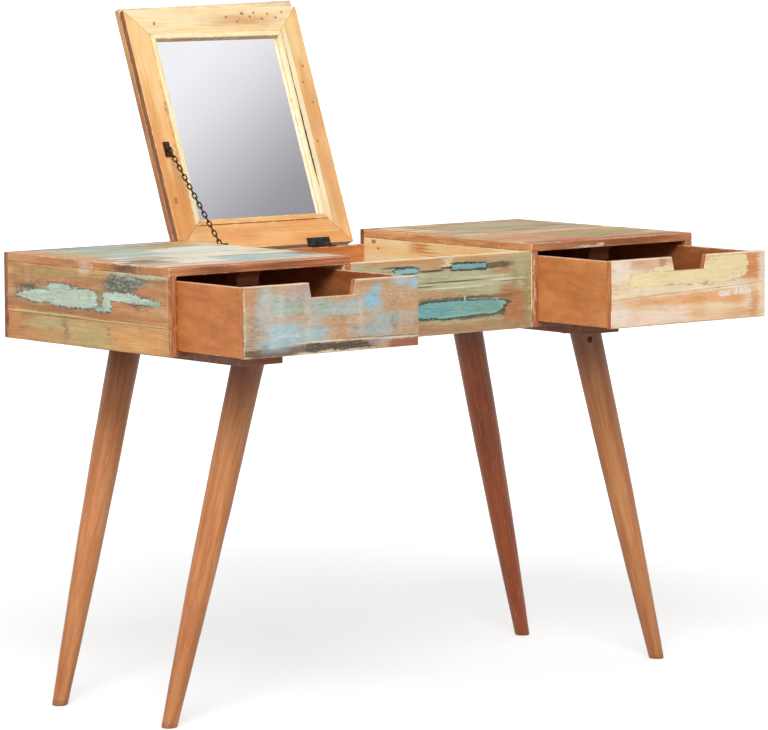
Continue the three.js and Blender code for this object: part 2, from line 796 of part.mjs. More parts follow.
// The model's origin is on the floor under the middle of its whole length, from drawer fronts to lid
const foremost = frontFace - jointGap - drawerFrontThickness - Math.max(leftDrawer.pull, rightDrawer.pull);
const lidReach = hingeAxisY - (frontFace + lidFrontSetback);
const lidLean = lidOpening - Math.PI / 2;
const leanReach = lidReach * Math.sin(lidLean) + (caseTop - hingeAxisZ) * Math.cos(lidLean);
const hindmost = hingeAxisY + leanReach - arris * Math.sin(lidLean);
dressingTable.position.y = -(foremost + hindmost) / 2;

export default dressingTable;
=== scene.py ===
import json
import math

import bmesh
import bpy
import numpy as np
from mathutils import Matrix, Vector, noise

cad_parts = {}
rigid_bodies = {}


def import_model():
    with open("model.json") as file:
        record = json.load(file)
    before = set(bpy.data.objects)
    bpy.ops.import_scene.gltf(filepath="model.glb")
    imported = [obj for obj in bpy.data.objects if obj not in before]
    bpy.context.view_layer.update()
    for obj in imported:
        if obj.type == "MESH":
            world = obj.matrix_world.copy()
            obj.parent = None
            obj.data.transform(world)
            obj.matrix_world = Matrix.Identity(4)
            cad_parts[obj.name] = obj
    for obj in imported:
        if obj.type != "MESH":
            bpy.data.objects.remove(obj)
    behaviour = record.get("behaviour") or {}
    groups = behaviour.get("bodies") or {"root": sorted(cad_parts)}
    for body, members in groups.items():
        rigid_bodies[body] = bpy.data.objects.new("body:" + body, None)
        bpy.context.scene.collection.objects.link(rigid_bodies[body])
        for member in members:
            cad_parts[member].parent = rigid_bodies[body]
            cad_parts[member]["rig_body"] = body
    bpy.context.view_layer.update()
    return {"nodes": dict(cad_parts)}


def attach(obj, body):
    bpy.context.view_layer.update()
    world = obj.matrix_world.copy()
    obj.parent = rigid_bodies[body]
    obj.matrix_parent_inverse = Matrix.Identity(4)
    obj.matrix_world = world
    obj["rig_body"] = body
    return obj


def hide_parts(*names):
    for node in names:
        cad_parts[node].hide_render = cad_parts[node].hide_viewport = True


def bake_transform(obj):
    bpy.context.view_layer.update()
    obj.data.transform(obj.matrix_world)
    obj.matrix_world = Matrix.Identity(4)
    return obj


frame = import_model()

# Places and sizes of finishes are in millimetres of the table's own case: X along the table from its
# middle, Y from the middle of the cabinets' depth to the back, Z up from the floor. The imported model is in
# metres and stands this much further forward.
METRE = 1000.0
CASE_FORWARD = 1.6139
# How far the open lid leans back, and the line it turns on
LID_LEAN = math.radians(21.5)
HINGE_LINE = Vector((0.0, 231.1, 723.95))

# The camera, fitted to the photograph: place in metres, angles in degrees, lens and picture in pixels, the
# sensor in millimetres
CAMERA_PLACE = (-4.8825358, -6.0473742, 1.3339087)
CAMERA_YAW = -39.2676518
CAMERA_PITCH = 5.8362408
CAMERA_ROLL = -0.3059994
CAMERA_PIXELS = 4630.2634
PICTURE_WIDTH = 768
PICTURE_MIDDLE = (384, 365)
SENSOR_WIDTH = 36.0
SIGHT_LIMITS = (0.1, 1000.0)

# The lamp, the world and the floor: levels as shares of white, power in watts, places in metres
WORLD_LEVEL = 0.58
WORLD_COLOUR = (1.0, 0.985, 0.965, 1)
WHITE = (1, 1, 1, 1)
KEY_POWER = 500.0
KEY_PLACE = (-4.2, -4.9, 5.6)
KEY_AIM = (0.0, 0.0, 0.6)
KEY_SIZE = 3.6
KEY_COLOUR = (1.0, 0.985, 0.96)
FLOOR_SHADE = 0.48
FLOOR_DUST = 0.985
FLOOR_HALF = 120.0
# How much white the camera adds to the floor: (millimetres from the table's middle, level)
FLOOR_GLOW_NEAR = (900.0, 0.6)
FLOOR_GLOW_FAR = (4000.0, 1.0)
# What the mirror shows: from the pale to the dim corner of the glass, at these pixels of the photograph
MIRROR_PALE = (253, 252, 254)
MIRROR_PALE_PIXEL = (175, 60)
MIRROR_DIM = (159, 157, 160)
MIRROR_DIM_PIXEL = (315, 205)

ORIGIN = (0.0, 0.0, 0.0)
GREY = (0.5, 0.5, 0.5, 1.0)
FULL_TURN = 2 * math.pi


def seen(red, green, blue):
    """A colour as the eye reads it, 0 to 255, in the shader's linear light."""
    values = []
    for value in (red, green, blue):
        share = value / 255
        values.append(share / 12.92 if share <= 0.04045 else ((share + 0.055) / 1.055) ** 2.4)
    return (*values, 1.0)


# Node wiring


class Wiring:
    """Puts nodes into one tree; values are numbers, tuples or other nodes' outputs."""

    def __init__(self, tree):
        self.tree = tree
        self.nodes = tree.nodes
        self.links = tree.links

    def feed(self, socket, value):
        if isinstance(value, bpy.types.NodeSocket):
            self.links.new(value, socket)
        else:
            socket.default_value = value

    def add(self, kind, inputs=(), **settings):
        node = self.nodes.new(kind)
        for key, value in settings.items():
            setattr(node, key, value)
        for key, value in dict(inputs).items():
            self.feed(node.inputs[key], value)
        return node

    def math(self, operation, *values):
        return self.add("ShaderNodeMath", dict(enumerate(values)), operation=operation).outputs[0]

    def vector(self, operation, *values):
        return self.add("ShaderNodeVectorMath", dict(enumerate(values)), operation=operation).outputs[0]

    def scaled(self, vector, amount):
        node = self.add("ShaderNodeVectorMath", {0: vector}, operation="SCALE")
        self.feed(node.inputs["Scale"], amount)
        return node.outputs[0]

    def measured(self, operation, *values):
        """A vector operation that gives one number."""
        node = self.add("ShaderNodeVectorMath", dict(enumerate(values)), operation=operation)
        return node.outputs["Value"]

    def join(self, x, y=0.0, z=0.0):
        return self.add("ShaderNodeCombineXYZ", {0: x, 1: y, 2: z}).outputs[0]

    def split(self, vector):
        return self.add("ShaderNodeSeparateXYZ", {0: vector}).outputs

    def times(self, first, second):
        return self.math("MULTIPLY", first, second)

    def rest(self, share):
        """What a share leaves of one."""
        return self.math("SUBTRACT", 1.0, share)

    def mix(self, amount, below, above, blend="MIX"):
        node = self.add(
            "ShaderNodeMix", {0: amount, 6: below, 7: above}, data_type="RGBA", blend_type=blend)
        return node.outputs[2]

    def tint(self, colour, tone, mask, amount, blend="MIX"):
        """Lays a tone over a colour where the mask is, as strongly as the amount says."""
        return self.mix(self.times(mask, amount), colour, seen(*tone), blend)

    def between(self, value, start, end, low=0.0, high=1.0):
        node = self.add("ShaderNodeMapRange", interpolation_type="SMOOTHSTEP")
        names = ("Value", "From Min", "From Max", "To Min", "To Max")
        for key, given in zip(names, (value, start, end, low, high)):
            self.feed(node.inputs[key], given)
        return node.outputs["Result"]

    def noise(self, place, detail=2.0, rough=0.5, bend=0.0):
        inputs = {"Vector": place, "Scale": 1.0, "Detail": detail, "Roughness": rough, "Distortion": bend}
        return self.add("ShaderNodeTexNoise", inputs, noise_dimensions="3D").outputs

    def ramp(self, value, stops):
        node = self.add("ShaderNodeValToRGB", {"Fac": value})
        band = node.color_ramp
        while len(band.elements) < len(stops):
            band.elements.new(0.5)
        for element, (place, colour) in zip(band.elements, stops):
            element.position = place
            element.color = seen(*colour)
        return node.outputs["Color"]

    def group(self, name, inputs=()):
        return self.add("ShaderNodeGroup", inputs, node_tree=bpy.data.node_groups[name]).outputs


def new_group(name, inputs, outputs, kind="Shader"):
    """A node group; gives its wiring, what goes in, what comes out, and the inputs' identifiers."""
    tree = bpy.data.node_groups.new(name, kind + "NodeTree")
    identifiers = {}
    for sort, label, default in inputs:
        socket = tree.interface.new_socket(label, in_out="INPUT", socket_type="NodeSocket" + sort)
        if default is not None:
            socket.default_value = default
        identifiers[label] = socket.identifier
    for sort, label in outputs:
        tree.interface.new_socket(label, in_out="OUTPUT", socket_type="NodeSocket" + sort)
    wires = Wiring(tree)
    given = wires.add("NodeGroupInput").outputs
    result = wires.add("NodeGroupOutput").inputs
    return wires, given, result, identifiers


# What the finishes share


def add_wood_figure():
    """Grain: broad light and dark figure, growth rings, and fine fibres, all drawn out along X."""
    wires, given, result, _ = new_group(
        "Wood figure",
        [
            ("Vector", "Place", ORIGIN),
            ("Float", "Band", 14.0),
            ("Float", "Stretch", 10.0),
            ("Float", "Ring spacing", 7.0),
            ("Vector", "Seed", ORIGIN),
        ],
        [("Float", "Figure"), ("Float", "Rings"), ("Float", "Fibre")],
    )
    parts = wires.split(given["Place"])
    drawn = wires.math("DIVIDE", parts[0], given["Stretch"])
    moved = wires.vector("ADD", wires.join(drawn, parts[1], parts[2]), given["Seed"])
    banded = wires.vector("DIVIDE", moved, wires.join(given["Band"], given["Band"], given["Band"]))
    figure = wires.noise(banded, detail=4.0, rough=0.55, bend=0.35)[0]
    wires.feed(result["Figure"], wires.between(figure, 0.28, 0.72))

    sway_size, sway_reach = 0.03, 70.0
    sway = wires.noise(wires.scaled(moved, sway_size))[0]
    swayed = wires.math("MULTIPLY_ADD", sway, sway_reach, parts[1])
    turns = wires.math("DIVIDE", wires.math("ADD", swayed, parts[2]), given["Ring spacing"])
    wave = wires.math("SINE", wires.times(turns, FULL_TURN))
    wires.feed(result["Rings"], wires.between(wave, -0.3, 1.0))

    fibre_size = (0.014, 0.75, 0.75)
    long_fibre = wires.vector("MULTIPLY", given["Place"], fibre_size)
    fibre = wires.noise(wires.vector("ADD", long_fibre, given["Seed"]), detail=3.0, rough=0.65)[0]
    wires.feed(result["Fibre"], wires.between(fibre, 0.3, 0.7))


# The masks of old paint: the size of their marks along and across the grain in millimetres, where in the
# noise they are taken, its detail and roughness, the levels between which the mask comes in, and whether
# it is drawn out with the finish's own streaks
PAINT_MASKS = {
    "Holds": (24.0, 2.6, 17.0, 4.0, 0.7, 0.44, 0.5, True),
    "Blotch": (34.0, 14.0, 23.0, 5.0, 0.65, 0.34, 0.66, False),
    "Pale streak": (48.0, 2.4, 31.0, 5.0, 0.7, 0.51, 0.6, True),
    "Dark streak": (36.0, 1.8, 41.0, 5.0, 0.7, 0.55, 0.64, True),
    "Speck": (4.2, 2.8, 71.0, 4.0, 0.75, 0.49, 0.56, False),
    "Chips": (9.0, 4.6, 97.0, 5.0, 0.75, 0.49, 0.53, False),
}


def add_old_paint():
    """What time does to paint on a board: ragged borders, flaking, blotches, streaks and cracks."""
    wires, given, result, _ = new_group(
        "Old paint",
        [("Vector", "Place", ORIGIN), ("Vector", "Seed", ORIGIN), ("Float", "Streak", 1.0)],
        [("Vector", "Ragged"), *(("Float", label) for label in (*PAINT_MASKS, "Crack", "Brushed"))],
    )
    drawn_out = wires.vector(
        "DIVIDE", given["Place"], wires.join(given["Streak"], given["Streak"], given["Streak"]))

    def field(along, across, shift, detail, rough, place=given["Place"]):
        stretched = wires.vector("MULTIPLY", place, (1 / along, 1 / across, 1 / across))
        seeded = wires.vector("ADD", stretched, given["Seed"])
        return wires.noise(wires.vector("ADD", seeded, (shift, shift * 0.7, 0.0)), detail, rough)

    def stray(marks, reach):
        either_way = wires.vector("SUBTRACT", field(*marks)["Color"], (0.5, 0.5, 0.5))
        return wires.vector("MULTIPLY", either_way, reach)

    coarse = stray((26.0, 9.0, 3.0, 4.0, 0.7), (34.0, 13.0, 0.0))
    fine = stray((4.5, 2.0, 9.0, 3.0, 0.7), (15.0, 8.0, 0.0))
    wires.feed(result["Ragged"], wires.vector("ADD", coarse, fine))
    for label, (*marks, low, high, streaky) in PAINT_MASKS.items():
        place = drawn_out if streaky else given["Place"]
        wires.feed(result[label], wires.between(field(*marks, place)["Fac"], low, high))

    line = wires.math("ABSOLUTE", wires.math("SUBTRACT", field(42.0, 5.5, 53.0, 3.0, 0.6)["Fac"], 0.5))
    thin = wires.between(line, 0.0, 0.016, 1.0, 0.0)
    cracked = wires.between(field(40.0, 16.0, 61.0, 1.0, 0.5)["Fac"], 0.46, 0.6)
    wires.feed(result["Crack"], wires.times(thin, cracked))
    across_grain = wires.between(field(5.0, 34.0, 83.0, 4.0, 0.7)["Fac"], 0.45, 0.64)
    here = wires.between(field(50.0, 30.0, 89.0, 2.0, 0.5)["Fac"], 0.38, 0.6)
    wires.feed(result["Brushed"], wires.times(across_grain, here))


FAR_OUTSIDE = 500.0
# How square a patch is: two would make it an ellipse
PATCH_POWER = 4.0


def add_patch_outline(name, even):
    """How far a place lies outside a rounded rectangle, in millimetres; negative inside.
    Even counts the millimetres alike on all sides; otherwise they stretch out along the longer side."""
    wires, given, result, _ = new_group(
        name,
        [
            ("Vector", "Place", ORIGIN),
            ("Vector", "Middle", ORIGIN),
            ("Vector", "Half size", (10.0, 10.0, 1.0)),
            ("Float", "Others", FAR_OUTSIDE),
        ],
        [("Float", "Outside")],
    )
    from_middle = wires.vector("SUBTRACT", given["Place"], given["Middle"])
    reach = wires.vector("DIVIDE", from_middle, given["Half size"])
    parts = wires.split(wires.vector("ABSOLUTE", reach))
    along, up = (wires.math("POWER", parts[axis], PATCH_POWER) for axis in (0, 1))
    half = wires.split(given["Half size"])
    size = wires.math("POWER", wires.math("ADD", along, up), 1 / PATCH_POWER)
    if even:
        steep = [
            wires.math("DIVIDE", wires.math("POWER", parts[axis], PATCH_POWER - 1), half[axis])
            for axis in (0, 1)
        ]
        squares = wires.math("MULTIPLY_ADD", steep[0], steep[0], wires.times(steep[1], steep[1]))
        never_zero = 0.000000001
        steepness = wires.math("ADD", wires.math("SQRT", squares), never_zero)
        length = wires.math("DIVIDE", wires.math("POWER", size, PATCH_POWER - 1), steepness)
    else:
        length = wires.math("MINIMUM", half[0], half[1])
    outside = wires.times(wires.math("SUBTRACT", size, 1.0), length)
    wires.feed(result["Outside"], wires.math("MINIMUM", outside, given["Others"]))


def add_paint_layer():
    """One coat of paint, wash or stain over what lies below it, with its flaked rim."""
    wires, given, result, _ = new_group(
        "Paint layer",
        [
            ("Color", "Below", GREY),
            ("Float", "Height", 0.0),
            ("Float", "Outside", 1.0),
            ("Float", "Holds", 1.0),
            ("Float", "Speck", 0.5),
            ("Color", "Paint", GREY),
            ("Color", "Rim", GREY),
            ("Float", "Strength", 1.0),
            ("Float", "Softness", 1.0),
            ("Float", "Rim width", 0.001),
            ("Float", "Flaking", 0.0),
            ("Float", "Chips", 1.0),
            ("Float", "Crumbling", 0.0),
            ("Float", "Rim gaps", 0.7),
            ("Float", "Thickness", 0.1),
        ],
        [("Color", "Colour"), ("Float", "Height")],
    )
    inward = wires.times(given["Softness"], -1.0)
    whole = wires.between(given["Outside"], inward, given["Softness"], 1.0, 0.0)
    flaked = wires.times(wires.rest(given["Holds"]), given["Flaking"])
    crumbled = wires.times(wires.rest(given["Chips"]), given["Crumbling"])
    sound = wires.times(wires.rest(flaked), wires.rest(crumbled))
    cover = wires.times(wires.times(whole, sound), given["Strength"])
    aside = wires.math("ABSOLUTE", given["Outside"])
    rim = wires.between(aside, wires.times(given["Rim width"], 0.5), given["Rim width"], 1.0, 0.0)
    gaps = wires.times(wires.rest(given["Speck"]), given["Rim gaps"])
    broken = wires.times(rim, wires.rest(gaps))
    coated = wires.mix(cover, given["Below"], given["Paint"])
    wires.feed(result["Colour"], wires.mix(broken, coated, given["Rim"]))
    wires.feed(result["Height"], wires.math("MULTIPLY_ADD", cover, given["Thickness"], given["Height"]))


def add_worn_edge():
    """Where hands and knocks took the finish off: close to the board's edges, in broken lengths."""
    wires, given, result, _ = new_group(
        "Worn edge",
        [("Vector", "Place", ORIGIN), ("Float", "Amount", 0.5)],
        [("Float", "Bare")],
    )
    near = wires.add("ShaderNodeAttribute", attribute_name="wear", attribute_type="GEOMETRY").outputs["Fac"]
    knock_size = 0.07
    knocks = wires.noise(wires.scaled(given["Place"], knock_size), detail=4.0, rough=0.65)[0]
    level = wires.times(near, wires.between(knocks, 0.3, 0.7, 0.45, 1.35))
    wires.feed(result["Bare"], wires.between(level, wires.rest(given["Amount"]), 1.0))


def add_grime():
    """Dust and handling: slow, faint changes of shade and gloss."""
    wires, given, result, _ = new_group(
        "Grime",
        [("Vector", "Place", ORIGIN), ("Float", "Size", 40.0)],
        [("Float", "Shade"), ("Float", "Gloss")],
    )
    small = wires.math("DIVIDE", 1.0, given["Size"])
    clouds = wires.noise(wires.scaled(given["Place"], small), detail=5.0, rough=0.6)[0]
    wires.feed(result["Shade"], wires.between(clouds, 0.25, 0.75))
    speck_size = 0.35
    specks = wires.noise(wires.scaled(given["Place"], speck_size), detail=3.0, rough=0.7)[0]
    wires.feed(result["Gloss"], wires.between(specks, 0.3, 0.7))


# Finishes

# How far each kind of coat's border strays, as a share of the ragged line's own straying
STRAYING = {
    "paint": 0.9,
    "crumbs": 1.0,
    "streaked": 1.6,
    "bold": 0.55,
    "chalk": 0.8,
    "scrap": 1.2,
    "wash": 1.1,
    "stain": 1.0,
    "line": 0.12,
    "crack": 0.04,
    "knot": 0.12,
}
# How each kind of coat lies on the board; softness, rim width and thickness are in millimetres
COATS = {
    "paint": {"Softness": 0.6, "Rim width": 2.6, "Rim gaps": 0.75, "Flaking": 0.25, "Thickness": 0.2},
    "crumbs": {"Softness": 3.0, "Crumbling": 1.0},
    "streaked": {"Softness": 6.0, "Flaking": 0.4},
    "bold": {"Softness": 0.6, "Rim width": 2.2, "Rim gaps": 0.1, "Flaking": 0.12, "Thickness": 0.25},
    "chalk": {"Softness": 1.6, "Rim width": 0.6, "Rim gaps": 0.9, "Flaking": 0.25, "Thickness": 0.12},
    "scrap": {"Softness": 0.8, "Flaking": 0.75},
    "wash": {"Softness": 8.0, "Flaking": 0.2},
    "stain": {"Softness": 1.8, "Flaking": 0.15},
    "line": {"Softness": 0.5, "Flaking": 0.1},
    "crack": {"Softness": 0.4},
    "knot": {"Softness": 0.8, "Rim width": 1.3},
}
# The coats that stand out enough to catch the light
RAISED = ("paint", "bold", "chalk")
# A raised coat's rim is nowhere narrower than this share of its width
RIM_LEAST_SHARE = 0.45

PLAIN_RIM = (84, 66, 48)
BARE_WOOD = (206, 158, 104)
# What darkens a board's hollows, blotches and dusty places
FIBRE_SHADE = (150, 112, 84)
BLOTCH_SHADE = (120, 96, 76)
DUST_SHADE = (150, 126, 100)
DUST_SIZE = 45.0
DUST_AMOUNT = 0.1
BARE_AMOUNT = 0.7
FIBRE_HEIGHT = 0.12
CRACK_HEIGHT = -0.2
# How dull a board is where it is evenly coated and clean, and where it is blotched and dusty; the shares
# that blotches and dust have in it
BOARD_ROUGHNESS = (0.42, 0.6)
BLOTCH_DULLS = 0.6
DUST_DULLS = 0.4
# The bump of every finish, in metres for a height of one
BUMP_DISTANCE = 0.001
BUMP_STRENGTH = 0.8
COAT_ROUGHNESS = 0.3

# Where the tones of a wood lie between its darkest and lightest figure
THREE_STOPS = (0.0, 0.5, 1.0)
FOUR_STOPS = (0.0, 0.4, 0.7, 1.0)
EVEN_STOPS = (0.0, 0.35, 0.65, 1.0)


def tones(*colours, stops=None):
    """A wood's colours from its darkest figure to its lightest."""
    return list(zip(stops or (THREE_STOPS if len(colours) == 3 else FOUR_STOPS), colours))


class Finish(Wiring):
    """One material, from the object's own coordinates to its shader."""

    def __init__(self, name):
        self.material = bpy.data.materials.new(name)
        self.material.use_nodes = True
        super().__init__(self.material.node_tree)
        self.nodes.clear()

    def case_place(self, leaning=False):
        """Millimetres in the case, or, leaning, millimetres across, through and up the opened lid."""
        place = self.add("ShaderNodeTexCoord").outputs["Object"]
        turn = Matrix.Rotation(LID_LEAN, 3, "X") if leaning else Matrix.Identity(3)
        shift = turn @ Vector((0.0, CASE_FORWARD, 0.0))
        if leaning:
            shift -= turn @ HINGE_LINE
        inputs = {
            "Vector": place,
            "Location": tuple(shift),
            "Rotation": (LID_LEAN if leaning else 0.0, 0.0, 0.0),
            "Scale": (METRE, METRE, METRE),
        }
        return self.add("ShaderNodeMapping", inputs, vector_type="POINT").outputs[0]

    def face_place(self, across, up, leaning=False):
        """The same, seen flat on a face: X runs along the grain, Y up the face, Z into it."""
        parts = self.split(self.case_place(leaning))
        into = ({0, 1, 2} - {across, up}).pop()
        return self.join(parts[across], parts[up], parts[into])

    def flat(self, place):
        parts = self.split(place)
        return self.join(parts[0], parts[1])

    def close(self, colour, rough, height=None, metallic=0.0, coat=0.0):
        """Ends the material in its shader."""
        shader = self.add("ShaderNodeBsdfPrincipled", {
            "Base Color": colour,
            "Roughness": rough,
            "Metallic": metallic,
            "Coat Weight": coat,
            "Coat Roughness": COAT_ROUGHNESS,
        })
        if height is not None:
            bump = self.add("ShaderNodeBump", {
                "Strength": BUMP_STRENGTH,
                "Distance": BUMP_DISTANCE,
                "Height": height,
            })
            self.feed(shader.inputs["Normal"], bump.outputs[0])
        output = self.add("ShaderNodeOutputMaterial")
        self.links.new(shader.outputs[0], output.inputs["Surface"])
        return self.material


def lay_coats(make, coats, spot, paint, rim, colour, height):
    """Lays the coats of paint over the wood, one by one; gives the colour and height they leave."""
    strayed = {}
    for kind, strength, tone, areas in coats:
        amount = STRAYING[kind]
        if amount not in strayed:
            strayed[amount] = make.vector("ADD", spot, make.scaled(paint["Ragged"], amount))
        raised = kind in RAISED
        outside = FAR_OUTSIDE
        for across, up, half_across, half_up in areas:
            outside = make.group("Even outline" if raised else "Patch outline", {
                "Place": strayed[amount],
                "Middle": (across, up, 0.0),
                "Half size": (half_across, half_up, 1.0),
                "Others": outside,
            })["Outside"]
        look = dict(COATS[kind])
        if raised:
            width = look["Rim width"]
            look["Rim width"] = make.math("MULTIPLY_ADD", paint["Blotch"], width, width * RIM_LEAST_SHARE)
        layer = make.group("Paint layer", {
            "Below": colour,
            "Height": height,
            "Outside": outside,
            "Holds": paint["Holds"],
            "Speck": paint["Speck"],
            "Chips": paint["Chips"],
            "Paint": seen(*tone),
            "Rim": seen(*rim),
            "Strength": strength,
            **look,
        })
        colour = layer["Colour"]
        if raised:
            height = layer["Height"]
    return colour, height


def board_finish(name, axes, woods, coats=(), leaning=False, band=14.0, stretch=10.0, rings=0.0,
                 ring_spacing=7.0, ring_colour=None, fibre=0.25, pale=None, pale_amount=0.0, dark=None,
                 dark_amount=0.0, cracks=0.0, mottle=0.1, bare=BARE_WOOD, edge_wear=0.25, rim=PLAIN_RIM,
                 streak=1.0, brushed=0.0, brush=None, seed=0.0):
    """A board's finish: figured wood, streaks of old colour along the grain, coats of paint, worn edges.
    axes are the case axes that run along the grain and up the face."""
    make = Finish(name)
    place = make.face_place(*axes, leaning=leaning)
    spot = make.flat(place)
    seeds = (seed, seed * 1.7 + 3.1, seed * 0.6)
    wood = make.group("Wood figure", {
        "Place": place,
        "Band": band,
        "Stretch": stretch,
        "Ring spacing": ring_spacing,
        "Seed": seeds,
    })
    paint = make.group("Old paint", {"Place": spot, "Seed": seeds, "Streak": streak})
    colour = make.ramp(wood["Figure"], woods)
    for tone, mask, amount in (
            (ring_colour, wood["Rings"], rings),
            (pale, paint["Pale streak"], pale_amount),
            (dark, paint["Dark streak"], dark_amount),
            (brush, paint["Brushed"], brushed)):
        if amount:
            colour = make.tint(colour, tone, mask, amount)
    height = make.times(wood["Fibre"], FIBRE_HEIGHT)
    colour, height = lay_coats(make, coats, spot, paint, rim, colour, height)
    if cracks:
        colour = make.tint(colour, rim, paint["Crack"], cracks)
        height = make.math("MULTIPLY_ADD", paint["Crack"], CRACK_HEIGHT, height)
    grime = make.group("Grime", {"Place": place, "Size": DUST_SIZE})
    for tone, mask, amount in (
            (FIBRE_SHADE, make.rest(wood["Fibre"]), fibre),
            (BLOTCH_SHADE, paint["Blotch"], mottle),
            (DUST_SHADE, grime["Shade"], DUST_AMOUNT)):
        colour = make.tint(colour, tone, mask, amount, "MULTIPLY")
    worn = make.group("Worn edge", {"Place": place, "Amount": edge_wear})["Bare"]
    colour = make.tint(colour, bare, worn, BARE_AMOUNT)
    dusty = make.times(grime["Gloss"], DUST_DULLS)
    dull = make.math("MULTIPLY_ADD", paint["Blotch"], BLOTCH_DULLS, dusty)
    return make.close(colour, make.between(dull, 0.0, 1.0, *BOARD_ROUGHNESS), height)


# How fine a leg's pores and flecks are, along the grain and across it
LEG_PORES = (0.06, 1.1, 1.1)
LEG_FLECKS = (0.03, 0.5, 0.5)
LEG_FLECK_COLOUR = (240, 196, 150)
LEG_SCUFF_COLOUR = (112, 70, 44)
# Darker towards the top, a painted shadow of the case over each leg's top, and darker towards the foot: from
# and to in millimetres along the leg, amount there, its shade
LEG_TOP_PAINTED_SHADOW = (510.0, 590.0, 0.0, 0.75, (150, 120, 104))
LEG_FOOT_SHADE = (40.0, 300.0, 0.22, 0.0, (190, 160, 138))


def leg_finish(name, woods, grain_colour):
    """Satin stain on turned wood, with the grain along each leg, pores, scuffs round the foot, and a painted
    shadow of the case on the top of each leg.
    """
    make = Finish(name)
    attribute = make.add("ShaderNodeAttribute", attribute_name="along_leg", attribute_type="GEOMETRY")
    place = attribute.outputs["Vector"]
    wood = make.group("Wood figure", {
        "Place": place,
        "Band": 11.0,
        "Stretch": 14.0,
        "Ring spacing": 5.0,
        "Seed": (4.0, 1.0, 2.0),
    })
    pores = make.noise(make.vector("MULTIPLY", place, LEG_PORES), detail=3.0, rough=0.7)[0]
    flecks = make.noise(make.vector("MULTIPLY", place, LEG_FLECKS), detail=3.0, rough=0.6)[0]
    grime = make.group("Grime", {"Place": place, "Size": 60.0})
    colour = make.ramp(wood["Figure"], woods)
    for tone, mask, amount in (
            (grain_colour, wood["Rings"], 0.1),
            (grain_colour, make.rest(wood["Fibre"]), 0.2),
            (grain_colour, make.between(pores, 0.6, 0.7), 0.3),
            (LEG_FLECK_COLOUR, make.between(flecks, 0.6, 0.7), 0.3),
            (grain_colour, grime["Shade"], 0.1)):
        colour = make.tint(colour, tone, mask, amount)
    height = make.split(place)[0]
    low = make.between(height, 3.0, 12.0, 0.8, 0.0)
    scuffs = make.group("Grime", {"Place": place, "Size": 6.0})["Gloss"]
    colour = make.tint(colour, LEG_SCUFF_COLOUR, low, scuffs)
    # The top of each leg is darkened by a painted shadow of the case; the foot end is darker too
    for start, end, first, last, shade in (LEG_TOP_PAINTED_SHADOW, LEG_FOOT_SHADE):
        colour = make.mix(make.between(height, start, end, first, last), colour, seen(*shade), "MULTIPLY")
    gloss = make.between(grime["Gloss"], 0.0, 1.0, 0.4, 0.52)
    return make.close(colour, gloss, make.times(wood["Fibre"], 0.06), coat=0.1)


def metal_finish(name, dark, light, rough, size, worn):
    """Dark metal with a patina in patches, brighter where it rubs."""
    make = Finish(name)
    grime = make.group("Grime", {"Place": make.case_place(), "Size": size})
    colour = make.mix(grime["Shade"], seen(*dark), seen(*light))
    rubbed = make.between(grime["Gloss"], 0.72, 1.0, 0.0, 0.6)
    colour = make.mix(rubbed, colour, seen(*worn))
    gloss = make.between(grime["Shade"], 0.0, 1.0, rough, rough + 0.16)
    return make.close(colour, gloss, make.times(grime["Gloss"], 0.05), metallic=0.85)


def mirror_finish():
    """Silvered glass, with the faintest dust."""
    make = Finish("mirror_glass")
    grime = make.group("Grime", {"Place": make.case_place(leaning=True), "Size": 90.0})
    colour = make.tint(seen(244, 245, 247), (232, 233, 236), grime["Shade"], 0.1)
    return make.close(colour, make.between(grime["Gloss"], 0.0, 1.0, 0.012, 0.03), metallic=1.0)


# The painted faces, as the photograph shows them. Each coat is its kind, how much it covers, its colour, and
# its areas as middle along the grain, middle up the face, half length, half height, all in millimetres. The
# coats of the tops are all of the streaked kind, so they start with how much they cover.

